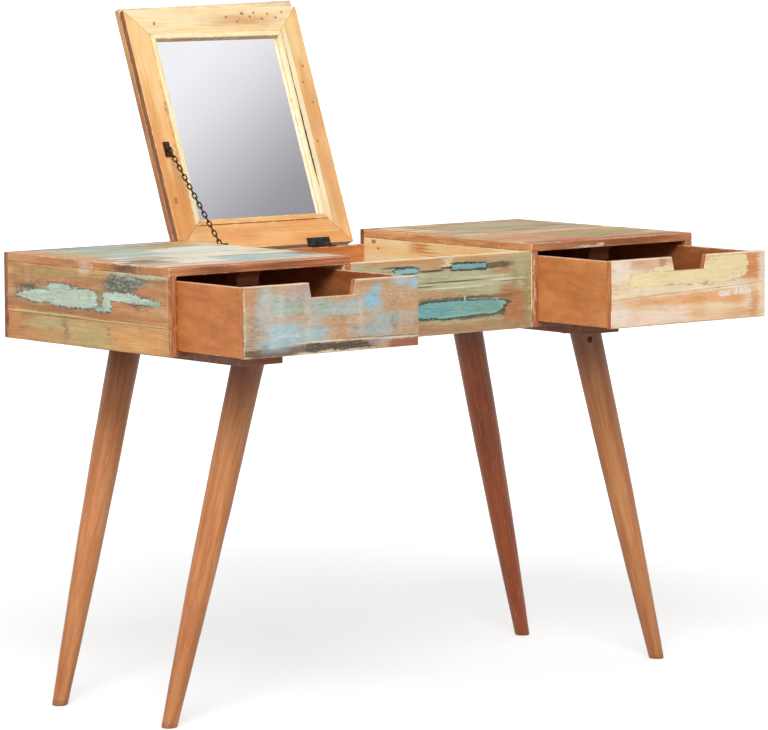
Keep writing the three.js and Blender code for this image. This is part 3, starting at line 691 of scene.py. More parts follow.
LEFT_END_COATS = [
    ("wash", 0.9, (190, 120, 62), [(0, 661, 240, 5)]),
    ("wash", 0.7, (160, 124, 76), [(120, 662, 74, 4), (20, 662, 30, 3)]),
    ("wash", 0.8, (188, 176, 112), [(95, 722, 66, 6)]),
    ("wash", 0.9, (240, 214, 186), [(3, 736, 13, 12)]),
    ("wash", 0.9, (240, 180, 112), [(-150, 628, 84, 22)]),
    ("wash", 0.9, (208, 188, 126), [(-8, 628, 52, 22)]),
    ("wash", 0.9, (204, 196, 140), [(98, 641, 44, 10), (124, 634, 26, 7)]),
    ("wash", 0.8, (228, 154, 88), [(160, 617, 66, 8), (204, 640, 22, 24)]),
    ("wash", 0.8, (212, 174, 112), [(92, 616, 52, 6)]),
    ("wash", 0.7, (176, 140, 88), [(54, 632, 6, 20)]),
    ("wash", 0.5, (212, 112, 82), [(-126, 677, 26, 3), (56, 710, 44, 3), (-150, 706, 24, 4)]),
    ("stain", 0.95, (84, 96, 84), [
        (-96, 712, 44, 9), (-116, 722, 52, 7), (-76, 716, 12, 12), (160, 696, 22, 4)]),
    ("crumbs", 0.9, (214, 220, 204), [(-116, 720, 42, 7), (-98, 710, 34, 4)]),
    ("scrap", 0.7, (88, 98, 84), [(-108, 715, 44, 9)]),
    ("stain", 0.6, (120, 116, 96), [(-182, 724, 34, 2.6), (-150, 714, 20, 2.4)]),
    ("scrap", 0.9, (206, 220, 194), [(-146, 731.5, 84, 4.0)]),
    ("crumbs", 0.7, (70, 82, 74), [
        (172, 687, 26, 12), (-42, 676, 26, 10), (-152, 685, 44, 9), (80, 705, 64, 4)]),
    ("stain", 0.8, (96, 66, 44), [(227, 690, 2.6, 60)]),
    ("wash", 0.95, (172, 156, 112), [(-41, 694, 8, 14)]),
    ("paint", 1.0, (216, 240, 224), [
        (35, 685, 70, 16.5), (70, 688, 36, 18.5), (126, 683, 36, 11), (160, 682, 26, 6.5),
        (182, 681, 12, 3), (-60, 685, 12.5, 17.5), (-50, 671.5, 20, 4.5), (-104, 694, 42, 8),
        (-140, 691, 36, 6.5), (-174, 689, 26, 4)]),
    ("wash", 0.35, (176, 214, 190), [(86, 690, 34, 12), (150, 682, 30, 6)]),
    ("crumbs", 0.13, (96, 124, 114), [(40, 684, 90, 14), (-90, 690, 60, 8)]),
    ("scrap", 0.8, (150, 182, 172), [(-176, 688, 26, 3.4), (-40, 673, 18, 4)]),
    ("wash", 0.4, (160, 92, 50), [
        (196, 716, 4, 14), (176, 712, 3, 12), (150, 716, 5, 12), (-10, 705, 3, 14)]),
    ("line", 0.9, (228, 214, 160), [(-115, 652.8, 108, 1.5), (112, 655.2, 108, 1.5)]),
    ("stain", 0.8, (98, 62, 40), [(56, 632, 1.5, 9), (-65, 641, 4, 1.4), (-64, 632, 4, 1.2)]),
    ("line", 0.8, (228, 174, 122), [(-222.5, 682, 1.1, 64)]),
    ("line", 0.8, (150, 86, 46), [(-228, 680, 3.4, 80)]),
    ("line", 0.5, (228, 190, 140), [(220.5, 684, 1.2, 62)]),
    ("wash", 0.6, (176, 148, 112), [(228, 680, 3, 80)]),
    ("line", 0.7, (120, 92, 66), [(227, 650, 2.4, 18)]),
]

LEFT_TOP_END_COATS = [
    ("wash", 0.8, (192, 114, 62), [(-184, 741, 42, 8)]),
    ("wash", 1.0, (98, 56, 38), [(-106, 742, 36, 9)]),
    ("wash", 0.8, (208, 132, 72), [(-46, 741, 24, 8)]),
    ("wash", 0.9, (240, 214, 190), [(0, 741, 14, 8)]),
    ("wash", 0.8, (208, 138, 84), [(122, 741, 100, 8)]),
    ("scrap", 0.8, (244, 222, 188), [(-60, 747.4, 120, 1.2)]),
]

LEFT_FRONT_COATS = [
    ("wash", 0.8, (210, 150, 94), [
        (-352, 661, 46, 10), (-366, 697, 38, 6), (-541, 700, 12, 26), (-310, 718, 26, 11),
        (-272, 712, 14, 16), (-384, 643, 34, 8)]),
    ("wash", 0.8, (206, 158, 108), [(-240, 700, 36, 24), (-226, 642, 22, 9), (-262, 676, 20, 8)]),
    ("wash", 0.7, (178, 184, 166), [
        (-450, 690, 76, 26), (-312, 688, 26, 10), (-400, 686, 30, 8), (-270, 660, 40, 14),
        (-350, 681, 44, 6)]),
    ("wash", 0.7, (194, 182, 192), [(-440, 713, 22, 8), (-518, 684, 12, 12)]),
    ("wash", 0.6, (216, 150, 124), [(-450, 673, 38, 5), (-474, 716, 26, 4), (-420, 664, 20, 4)]),
    ("wash", 0.95, (168, 206, 216), [
        (-474, 654, 34, 13), (-444, 646, 48, 10), (-500, 632, 15, 10), (-470, 640, 32, 8)]),
    ("scrap", 0.8, (196, 220, 224), [(-472, 646, 30, 5), (-500, 630, 12, 7)]),
    ("wash", 0.9, (152, 198, 214), [(-405, 651, 15, 7)]),
    ("wash", 0.8, (156, 180, 188), [(-292, 648, 30, 9), (-266, 660, 16, 9)]),
    ("wash", 0.8, (150, 190, 176), [(-460, 690, 16, 9), (-394, 692, 12, 7)]),
    ("wash", 0.85, (172, 206, 212), [(-508, 714, 6, 12), (-487, 698, 6, 12), (-364, 683, 20, 5)]),
    ("wash", 0.8, (172, 190, 190), [(-330, 690, 28, 6)]),
    ("wash", 1.0, (134, 200, 228), [(-297, 695, 15, 11), (-290, 709, 7, 6)]),
    ("wash", 1.0, (164, 214, 238), [(-234, 722, 15, 5), (-212, 716, 8, 7)]),
    ("scrap", 0.7, (186, 172, 192), [(-216, 655, 5, 7)]),
    ("stain", 0.7, (92, 96, 90), [(-257, 660, 1.6, 5), (-251, 649, 2.2, 4), (-512, 634, 6, 3)]),
    ("wash", 0.5, (180, 194, 188), [
        (-520, 680, 9, 34), (-340, 668, 7, 26), (-282, 690, 7, 26), (-408, 676, 8, 30)]),
    ("wash", 0.45, (226, 226, 214), [
        (-478, 694, 5, 22), (-503, 690, 5, 20), (-322, 672, 5, 20), (-424, 664, 5, 24)]),
    ("wash", 0.4, (150, 126, 104), [
        (-250, 668, 4, 26), (-532, 670, 5, 34), (-362, 662, 4, 18), (-440, 700, 4, 16)]),
    ("crumbs", 0.16, (232, 236, 230), [(-380, 676, 170, 40)]),
    ("line", 0.8, (170, 208, 184), [(-548.5, 668, 1.6, 30)]),
    ("stain", 0.95, (104, 76, 60), [(-500, 624, 56, 6.5)]),
    ("stain", 1.0, (80, 66, 56), [(-368, 626, 76, 6.5)]),
    ("stain", 0.95, (160, 96, 68), [(-228, 623, 36, 7.5)]),
    ("wash", 0.7, (172, 206, 210), [(-488, 630, 18, 5)]),
    ("scrap", 0.8, (172, 156, 168), [(-286, 628, 22, 3)]),
    ("line", 0.9, (226, 224, 200), [
        (-398, 635.2, 50, 1.5), (-312, 634.0, 34, 1.1), (-240, 632.4, 38, 1.4)]),
    ("line", 0.7, (84, 70, 58), [
        (-330, 636.8, 26, 0.7), (-262, 635.4, 30, 0.7), (-214, 634.6, 12, 0.6), (-546, 637, 8, 0.8)]),
    ("scrap", 0.95, (228, 216, 182), [(-368, 618, 70, 2.2), (-544, 619, 9, 2)]),
    ("line", 0.9, (242, 224, 198), [
        (-487, 727.8, 66, 0.9), (-266, 727.8, 66, 0.9), (-377, 705.2, 44, 0.9)]),
]

CENTRE_COATS = [
    ("wash", 0.95, (216, 160, 112), [(-10, 731, 190, 6), (-10, 724, 50, 9)]),
    ("wash", 0.7, (192, 212, 178), [(-182, 729, 15, 6)]),
    ("wash", 0.8, (202, 208, 174), [(40, 705, 110, 8), (70, 688, 100, 8)]),
    ("wash", 0.9, (206, 152, 104), [(-22, 673, 42, 6)]),
    ("wash", 0.9, (192, 126, 80), [(152, 644, 26, 34), (142, 674, 18, 8), (130, 708, 20, 5)]),
    ("wash", 0.8, (150, 140, 94), [(182, 655, 5, 44), (156, 690, 4, 14)]),
    ("wash", 0.8, (198, 198, 152), [(170, 716, 18, 14)]),
    ("wash", 0.9, (188, 134, 96), [(10, 616, 190, 10)]),
    ("wash", 0.7, (172, 166, 120), [(98, 618, 42, 3)]),
    ("stain", 0.9, (84, 74, 60), [(116, 716.5, 30, 4.5)]),
    # Dark bands round the lower teal patch: widest below and to its right, a painted shadow under the raised
    # paint; the thin band above is its dark rim
    ("stain", 0.9, (72, 66, 54), [
        (20, 634, 80, 3.4), (122, 643, 15, 10), (138, 654, 8, 4), (40, 665, 92, 2.4)]),
    ("bold", 1.0, (140, 206, 210), [(-76, 715.6, 25, 5.0), (-92, 714.4, 12, 3.8)]),
    ("bold", 1.0, (146, 206, 202), [(56, 717.6, 39, 5.6), (86, 716.4, 9, 4.4)]),
    ("bold", 1.0, (140, 200, 192), [
        (6, 648.2, 66, 14.4), (72, 647.6, 54, 12.6), (122, 649.5, 12, 9), (132, 652.5, 6, 4)]),
    ("wash", 0.5, (112, 184, 206), [(-38, 648, 26, 9), (40, 656, 40, 4)]),
    ("wash", 0.5, (158, 202, 174), [(76, 647, 40, 9)]),
    ("scrap", 0.4, (84, 142, 152), [(10, 648, 62, 11), (90, 650, 34, 9), (57, 717, 34, 4)]),
    ("scrap", 0.95, (242, 228, 192), [(11, 727, 10, 6), (2, 721, 9, 2.4)]),
    ("line", 0.9, (76, 64, 50), [
        (-96, 723, 34, 1.5), (-24, 713.6, 26, 1.9), (9, 717, 14, 1.5), (20, 694, 70, 1.1),
        (-50, 688, 30, 1.0)]),
    ("line", 0.9, (232, 236, 208), [
        (143, 692, 40, 1.7), (30, 684, 60, 1.2), (96, 699, 50, 1.1), (47, 665, 1.6, 3.4)]),
    ("line", 0.8, (112, 96, 70), [(150, 689.2, 30, 0.7)]),
    ("line", 0.7, (238, 214, 168), [(0, 734.6, 200, 0.9)]),
]

RIGHT_FRONT_COATS = [
    ("wash", 0.95, (251, 238, 224), [(226, 711, 20, 18), (221, 640, 17, 22)]),
    ("wash", 0.85, (216, 174, 148), [(274, 719, 30, 9), (326, 724, 16, 6)]),
    ("stain", 0.8, (188, 128, 98), [(314, 721, 8, 7)]),
    ("wash", 1.0, (222, 140, 80), [(522, 704, 20, 24), (512, 690, 14, 8)]),
    ("wash", 0.9, (251, 230, 204), [(546, 690, 8, 42), (549, 640, 6, 28)]),
    ("wash", 0.9, (253, 236, 200), [(370, 672, 172, 7)]),
    ("wash", 0.9, (238, 162, 92), [(300, 656, 72, 6), (400, 657, 64, 9), (478, 650, 20, 8)]),
    ("wash", 0.9, (253, 228, 212), [(310, 632, 56, 11), (244, 632, 12, 12)]),
    ("wash", 0.8, (250, 220, 182), [(436, 634, 36, 10)]),
    ("wash", 0.8, (240, 186, 132), [(395, 630, 18, 10), (472, 626, 16, 8)]),
    ("wash", 0.9, (224, 152, 88), [(527, 640, 8, 22)]),
    ("wash", 0.9, (255, 236, 200), [(270, 686, 48, 10), (250, 700, 20, 10)]),
    ("chalk", 1.0, (255, 237, 184), [
        (296, 694, 50, 12), (262, 690, 20, 8), (322, 706, 22, 8), (400, 692.5, 78, 11), (462, 706, 47, 20),
        (434, 702, 20, 15), (486, 714, 26, 12), (446, 684, 30, 7)]),
    ("crumbs", 0.25, (246, 212, 150), [(400, 696, 100, 18)]),
    ("wash", 0.5, (255, 238, 196), [(380, 692, 40, 8), (470, 690, 24, 6)]),
    ("scrap", 0.8, (176, 160, 142), [
        (350, 682, 18, 1.0), (376, 680, 9, 1.2), (417, 681, 5, 2.6), (430, 679, 9, 0.9),
        (462, 681, 18, 0.9)]),
    ("line", 0.7, (206, 164, 112), [
        (350, 705.2, 26, 0.8), (395, 705.6, 16, 0.9), (497, 689, 0.8, 7), (212, 673.5, 8, 0.6)]),
    ("crumbs", 0.5, (214, 190, 150), [(226, 684, 22, 8), (246, 706, 5, 10)]),
    ("chalk", 0.95, (255, 240, 220), [(456, 661, 12, 5), (502, 663, 20, 7), (480, 670, 16, 5)]),
    ("line", 0.6, (196, 150, 112), [(490, 664, 1.0, 6), (470, 668, 14, 0.7)]),
    ("line", 0.7, (176, 154, 136), [(380, 617.6, 172, 0.9)]),
    ("line", 0.8, (250, 236, 216), [(270, 727.8, 66, 0.9), (486, 727.8, 66, 0.9)]),
]

LEFT_TOP_STREAKS = [
    (0.9, (221, 140, 72), [(-540, 140, 26, 84), (-546, 0, 16, 60)]),
    (0.85, (192, 166, 104), [(-505, 90, 46, 56)]),
    (0.85, (78, 65, 52), [(-492, 214, 30, 15)]),
    (0.9, (143, 190, 189), [(-400, 205, 74, 28)]),
    (1.0, (83, 192, 192), [(-440, 212, 40, 15)]),
    (0.7, (93, 96, 88), [(-300, 200, 40, 12)]),
    (0.9, (239, 174, 93), [(-220, 190, 32, 40), (-238, 216, 44, 12)]),
    (0.8, (255, 218, 182), [(-206, 150, 18, 40)]),
    (0.9, (166, 192, 163), [(-400, 112, 92, 46)]),
    (0.8, (177, 205, 205), [(-436, 40, 66, 30)]),
    (0.8, (182, 171, 106), [(-310, 142, 50, 26)]),
    (0.95, (247, 244, 228), [(-290, 52, 92, 48), (-332, -38, 92, 38), (-420, -122, 62, 46)]),
    (0.9, (223, 247, 241), [
        (-410, -4, 42, 12), (-495, -10, 26, 14), (-262, 90, 34, 20), (-330, 30, 60, 14)]),
    (0.9, (106, 73, 64), [(-512, -82, 26, 18)]),
    (0.8, (145, 114, 106), [(-510, -120, 44, 18)]),
    (0.9, (247, 205, 187), [(-520, -184, 38, 18), (-478, -190, 36, 12)]),
    (0.9, (255, 247, 197), [(-225, -66, 32, 14), (-222, 0, 36, 22)]),
    (0.7, (153, 140, 122), [(-240, -40, 32, 8)]),
    (0.95, (180, 207, 214), [(-330, -132, 62, 36), (-262, -136, 42, 30)]),
    (0.7, (134, 206, 206), [(-318, -130, 30, 12)]),
    (0.8, (184, 208, 168), [(-330, -186, 44, 12)]),
    (0.8, (132, 96, 67), [(-214, -124, 20, 24)]),
    (1.0, (197, 96, 52), [(-375, -219, 200, 12)]),
    (0.6, (143, 70, 38), [(-480, -214, 40, 8), (-320, -212, 30, 7)]),
]

RIGHT_TOP_STREAKS = [
    (0.9, (217, 126, 57), [(204, 205, 20, 40), (200, 120, 12, 60)]),
    (0.9, (255, 223, 164), [(236, 175, 26, 30)]),
    (0.9, (250, 215, 129), [(318, 205, 28, 14)]),
    (0.7, (174, 137, 81), [(300, 170, 44, 20)]),
    (0.9, (239, 220, 171), [(240, 116, 26, 18)]),
    (0.8, (225, 199, 171), [(250, 88, 24, 14)]),
    (0.8, (198, 181, 106), [(350, 110, 42, 16)]),
    (0.8, (161, 147, 133), [(275, 28, 28, 14)]),
    (0.9, (215, 207, 176), [(248, -5, 28, 22)]),
    (0.85, (174, 168, 129), [(430, 108, 112, 66)]),
    (0.7, (198, 191, 129), [(440, 150, 72, 36)]),
    (0.7, (96, 92, 60), [(490, 76, 34, 11), (412, 26, 32, 7), (400, 92, 30, 5)]),
    (0.8, (169, 152, 133), [(530, 48, 40, 20)]),
    (0.8, (242, 204, 173), [(440, 202, 34, 8)]),
    (0.6, (109, 82, 62), [(446, 226, 60, 7)]),
    (0.9, (247, 202, 148), [(430, -18, 62, 14), (505, -24, 42, 12)]),
    (0.9, (250, 223, 143), [(556, -30, 18, 18)]),
    (0.85, (225, 163, 103), [(270, -70, 66, 30)]),
    (0.85, (209, 147, 95), [(300, -130, 96, 48)]),
    (0.7, (179, 131, 78), [(430, -60, 54, 14)]),
    (0.85, (171, 160, 97), [(436, -120, 92, 44), (550, -75, 22, 16)]),
    (0.9, (204, 215, 152), [(540, -160, 28, 13)]),
    (0.8, (198, 87, 57), [(320, -186, 42, 12), (420, -196, 60, 8)]),
    (1.0, (185, 85, 43), [(375, -214, 200, 16)]),
    (0.6, (120, 53, 25), [(500, -205, 40, 7), (250, -210, 30, 7)]),
]

TOP_EDGE_COATS = [
    ("wash", 0.8, (208, 144, 96), [(-520, 741, 40, 6), (260, 741, 60, 6)]),
    ("wash", 0.7, (122, 70, 44), [(-470, 742, 26, 6), (-330, 740, 30, 6), (420, 740, 60, 5)]),
    ("scrap", 0.95, (246, 234, 216), [(318, 736, 24, 2.4), (284, 735, 10, 1.6), (346, 739, 8, 3)]),
    ("line", 0.6, (232, 190, 146), [(0, 747.4, 560, 0.8)]),
]

TOP_RAIL_COATS = [
    ("wash", 0.7, (206, 140, 74), [(58, 418, 60, 9)]),
    ("wash", 0.8, (255, 236, 190), [(-80, 428, 70, 9), (140, 432, 30, 6)]),
    ("knot", 0.9, (128, 78, 42), [
        (62, 430, 2.6, 1.6), (78, 424, 1.6, 1.6), (88, 431, 1.4, 1.4), (104, 420, 1.6, 1.2),
        (118, 428, 1.2, 1.6), (48, 415, 1.4, 1.2), (134, 421, 1.4, 1.4), (150, 431, 1.2, 1.2),
        (26, 424, 1.6, 1.2), (-132, 416, 1.6, 2.4)]),
]

LEFT_STILE_COATS = [
    ("wash", 0.85, (255, 218, 156), [(380, -168, 60, 20), (300, -160, 50, 12)]),
    ("wash", 0.8, (226, 152, 84), [(80, -172, 70, 18), (210, -182, 40, 8)]),
    ("wash", 0.6, (250, 208, 150), [(200, -160, 50, 7)]),
    ("crumbs", 0.8, (120, 84, 56), [(262, -149, 26, 2.2), (200, -149, 16, 1.6)]),
    ("line", 0.6, (206, 134, 72), [(300, -176, 60, 0.7), (120, -166, 60, 0.8), (60, -184, 40, 0.7)]),
    ("knot", 0.7, (170, 104, 56), [(96, -176, 5, 3)]),
]

RIGHT_STILE_COATS = [
    ("wash", 0.8, (255, 222, 156), [(390, 158, 44, 20), (330, 148, 30, 8)]),
    ("wash", 0.7, (228, 168, 108), [(250, 166, 50, 16), (120, 168, 60, 14)]),
    ("wash", 0.6, (248, 212, 156), [(60, 150, 40, 10)]),
    ("line", 0.9, (255, 243, 206), [(225, 145.6, 174, 6.0)]),
    ("line", 0.5, (190, 140, 84), [(225, 152.2, 170, 0.8)]),
    ("knot", 0.8, (128, 80, 44), [
        (330, 168, 1.5, 1.5), (300, 160, 1.4, 1.4), (262, 171, 1.4, 1.4), (190, 160, 1.3, 1.3)]),
]

LOW_RAIL_COATS = [
    ("wash", 0.7, (238, 162, 98), [(-60, 30, 50, 12), (90, 14, 60, 8)]),
    ("wash", 0.7, (250, 204, 138), [(-150, 26, 30, 12), (20, 22, 30, 8)]),
]

RIGHT_BEAD_COATS = [
    ("crack", 1.0, (58, 38, 22), [(224, 137.6, 120, 1.3), (190, 137.2, 66, 2.2), (340, 138.2, 60, 0.8)]),
]

PINE_WALL_COATS = [
    ("wash", 0.6, (255, 196, 126), [(-40, 724, 60, 8), (-100, 706, 60, 8), (30, 716, 40, 5)]),
    ("wash", 0.7, (255, 226, 166), [(60, 712, 60, 12)]),
    ("wash", 0.9, (226, 150, 82), [(66, 724, 20, 9)]),
    ("line", 0.8, (190, 116, 58), [
        (60, 729, 22, 0.9), (54, 723, 24, 0.8), (44, 717, 26, 0.8), (20, 711, 30, 0.7)]),
    ("line", 0.6, (206, 136, 74), [(-60, 716, 60, 0.7), (-110, 722, 50, 0.6)]),
    ("knot", 0.85, (150, 92, 48), [(190, 728, 5, 2.8), (178, 717, 2.4, 1.6), (-20, 712, 1.8, 1.6)]),
]

LEFT_TOP_COATS = [("streaked", *coat) for coat in LEFT_TOP_STREAKS]
RIGHT_TOP_COATS = [("streaked", *coat) for coat in RIGHT_TOP_STREAKS]

LID_BACK_COATS = [
    ("streaked", 0.9, (150, 186, 184), [(-70, 330, 96, 40)]),
    ("streaked", 0.9, (222, 214, 192), [(70, 210, 86, 34), (-110, 220, 60, 20)]),
    ("streaked", 0.9, (204, 152, 104), [(-40, 110, 120, 40), (150, 400, 40, 30)]),
    ("scrap", 0.9, (206, 196, 150), [(40, 390, 110, 22)]),
    ("paint", 1.0, (188, 214, 204), [(60, 300, 60, 16), (20, 312, 40, 12)]),
]

LID_SIDE_COATS = [
    ("wash", 0.9, (230, 178, 118), [(400, 18, 60, 8)]),
    ("wash", 0.8, (178, 108, 60), [(80, 18, 90, 8), (240, 18, 50, 5)]),
]

POST_COATS = [
    ("scrap", 0.95, (244, 232, 212), [(700, 199, 26, 1.6), (640, 199, 20, 1.4), (668, 201, 10, 1.2)]),
    ("line", 0.8, (112, 64, 38), [(680, 208, 80, 0.9), (680, -547, 80, 0.9)]),
]

# The axes of the case; a finish names the one along its grain, then the one up its face
X, Y, Z = 0, 1, 2

TAN = tones((186, 122, 68), (208, 145, 86), (218, 160, 101), (232, 186, 132))
PALE_TOP = tones((138, 118, 90), (182, 166, 130), (198, 198, 172), (220, 216, 196), stops=EVEN_STOPS)
# The drawers' inside ply: about a fifth darker than the outside, painted shade of the drawers' insides
SHADED_INNER_PLY = tones((158, 92, 48), (172, 104, 58), (188, 120, 70))
HONEY = tones((240, 174, 106), (248, 190, 124), (253, 208, 146))
TAN_HONEY = tones((236, 178, 114), (245, 194, 130), (252, 212, 152))
PALE_HONEY = tones((252, 218, 160), (255, 232, 182), (255, 240, 204))
PALE_BEAD = tones((246, 228, 172), (254, 238, 190), (255, 246, 212))


def end_and_front_finishes():
    """The painted ends and fronts of the case and the drawers."""
    tan_end = tones((184, 126, 74), (206, 150, 93), (216, 165, 108), (230, 190, 138))
    front = tones((190, 140, 94), (198, 156, 112), (194, 166, 134), (184, 174, 158), stops=EVEN_STOPS)
    sage = tones((176, 154, 112), (190, 180, 136), (196, 196, 154), (212, 214, 180), stops=EVEN_STOPS)
    cream = tones((240, 186, 130), (248, 210, 164), (252, 226, 192), (255, 240, 220))
    return {
        "left_end": board_finish(
            "left_end_paint", (Y, Z), tan_end, LEFT_END_COATS, pale=(228, 186, 128), pale_amount=0.3,
            dark=(142, 88, 48), dark_amount=0.4, fibre=0.3, cracks=0.45, rim=(58, 66, 58), brushed=0.12,
            brush=(226, 190, 130), seed=1.0),
        "left_top_end": board_finish(
            "left_top_end_paint", (Y, Z), TAN, LEFT_TOP_END_COATS, pale=(232, 200, 150), pale_amount=0.3,
            dark=(120, 74, 44), dark_amount=0.4, seed=2.0, bare=(236, 206, 156)),
        "left_front": board_finish(
            "left_drawer_paint", (X, Z), front, LEFT_FRONT_COATS, pale=(214, 200, 180), pale_amount=0.25,
            dark=(150, 116, 90), dark_amount=0.35, fibre=0.14, cracks=0.35, rim=(110, 96, 82), brushed=0.3,
            brush=(206, 204, 194), seed=5.0, bare=(238, 216, 182)),
        "centre": board_finish(
            "centre_sage_paint", (X, Z), sage, CENTRE_COATS, pale=(216, 218, 184), pale_amount=0.45,
            dark=(128, 104, 74), dark_amount=0.45, cracks=0.5, rim=(60, 56, 46), seed=8.0,
            bare=(200, 166, 122), edge_wear=0.12),
        "right_front": board_finish(
            "right_drawer_paint", (X, Z), cream, RIGHT_FRONT_COATS, pale=(253, 242, 224), pale_amount=0.45,
            dark=(214, 160, 112), dark_amount=0.35, fibre=0.12, cracks=0.3, mottle=0.03,
            rim=(184, 148, 112), seed=11.0, bare=(252, 236, 210)),
    }


def top_finishes():
    """The streaked planks of both tops, and the edges of their boards."""
    tan_top = tones((158, 118, 78), (188, 150, 104), (202, 170, 122), (218, 194, 148), stops=EVEN_STOPS)
    red_edge = tones((172, 98, 58), (200, 122, 76), (214, 140, 90), (230, 166, 116))
    end_grain = tones((204, 136, 82), (228, 164, 108), (242, 190, 138))
    streaks = {"band": 16.0, "cracks": 0.3, "streak": 8.0, "mottle": 0.04, "bare": (206, 158, 108)}
    return {
        "left_top": board_finish(
            "left_top_paint", (X, Y), PALE_TOP, LEFT_TOP_COATS, pale=(255, 252, 240), pale_amount=0.9,
            dark=(92, 80, 66), dark_amount=0.8, rim=(104, 92, 76), seed=14.0, **streaks),
        "right_top": board_finish(
            "right_top_paint", (X, Y), tan_top, RIGHT_TOP_COATS, pale=(236, 206, 160), pale_amount=0.7,
            dark=(84, 66, 44), dark_amount=0.85, rim=(104, 84, 62), seed=17.0, **streaks),
        "top_edge": board_finish(
            "top_front_edge", (X, Z), red_edge, TOP_EDGE_COATS, band=6.0, stretch=20.0,
            pale=(220, 170, 122), pale_amount=0.4, dark=(108, 62, 40), dark_amount=0.5,
            bare=(222, 176, 130), seed=20.0),
        "end_grain": board_finish(
            "top_inner_edge", (Y, Z), end_grain, [("line", 0.8, (232, 180, 130), [(0, 747, 230, 1.2)])],
            band=7.0, rings=0.15, ring_spacing=4.0, ring_colour=(160, 96, 56), fibre=0.18,
            bare=(236, 190, 140), seed=22.0),
    }


def case_finishes():
    """The unpainted boards of the case."""
    post = tones((152, 90, 52), (180, 112, 68), (200, 136, 90))
    pine = tones((255, 220, 152), (255, 232, 178), (255, 242, 204))
    orange = tones((196, 114, 58), (218, 138, 76), (232, 162, 98))
    batten = tones((120, 66, 38), (150, 88, 54), (172, 108, 70))
    brown = tones((96, 56, 36), (124, 76, 50), (146, 94, 62))
    return {
        "plain_tan": board_finish(
            "plain_tan_board", (X, Z), TAN, pale=(226, 196, 150), pale_amount=0.35, dark=(140, 92, 54),
            dark_amount=0.4, seed=24.0),
        "post": board_finish(
            "brown_post", (Z, X), post, POST_COATS, band=6.0, pale=(220, 180, 134), pale_amount=0.3,
            dark=(112, 70, 42), dark_amount=0.35, seed=26.0),
        "yellow_pine": board_finish(
            "yellow_pine_wall", (Y, Z), pine, PINE_WALL_COATS, rings=0.2, ring_spacing=9.0,
            ring_colour=(248, 190, 118), fibre=0.06, mottle=0.04, bare=(252, 226, 176),
            rim=(206, 146, 84), edge_wear=0.2, seed=28.0),
        "orange_pine": board_finish(
            "orange_pine_rail", (X, Z), orange, rings=0.25, ring_spacing=6.0, ring_colour=(186, 106, 54),
            fibre=0.22, bare=(236, 186, 128), edge_wear=0.3, seed=30.0),
        "batten": board_finish(
            "brown_batten", (X, Z), batten, rings=0.2, ring_spacing=6.0, ring_colour=(104, 58, 34),
            bare=(190, 130, 84), edge_wear=0.3, seed=31.0),
        "brown_ply": board_finish(
            "brown_ply_panel", (X, Y), brown, rings=0.15, ring_spacing=18.0, ring_colour=(84, 48, 30),
            fibre=0.2, band=34.0, edge_wear=0.2, bare=(176, 120, 82), seed=36.0),
    }


def drawer_finishes():
    """The drawers' plywood outside, the same ply painted darker inside as painted shade, and the ends of
    their fronts.
    """
    left = tones((198, 116, 54), (206, 124, 60), (214, 134, 68))
    right = tones((206, 126, 66), (216, 138, 76), (226, 150, 88))
    front_end = tones((176, 104, 58), (198, 124, 72), (216, 146, 92))
    ply_edge = tones((206, 150, 112), (226, 178, 142), (238, 200, 168))
    sheet = {"rings": 0.05, "ring_spacing": 14.0, "band": 24.0, "stretch": 2.5}
    outer = {"ring_colour": (180, 104, 56), "fibre": 0.06, "mottle": 0.2, "bare": (226, 176, 140),
             "edge_wear": 0.15, "seed": 32.0, **sheet}
    # Inside the drawers the ply and its rings are painted darker, as painted shade
    inner = {"ring_colour": (146, 82, 44), "fibre": 0.08, **sheet}
    return {
        "left_ply": board_finish("left_drawer_ply", (Y, Z), left, **outer),
        "right_ply": board_finish("right_drawer_ply", (Y, Z), right, **outer),
        "shaded_inner_ply": board_finish(
            "inner_drawer_ply", (Y, Z), SHADED_INNER_PLY, bare=(206, 150, 106), edge_wear=0.15, seed=32.5,
            **inner),
        "shaded_inner_back": board_finish("drawer_back_ply", (X, Z), SHADED_INNER_PLY, seed=32.7, **inner),
        "front_end": board_finish(
            "drawer_front_end", (Z, X), front_end, band=6.0, fibre=0.2, bare=(216, 182, 142),
            edge_wear=0.2, seed=33.0),
        "ply_edge": board_finish(
            "ply_top_edge", (Y, X), ply_edge, rings=0.3, ring_spacing=3.3, ring_colour=(190, 126, 86),
            fibre=0.15, band=6.0, seed=34.0),
    }


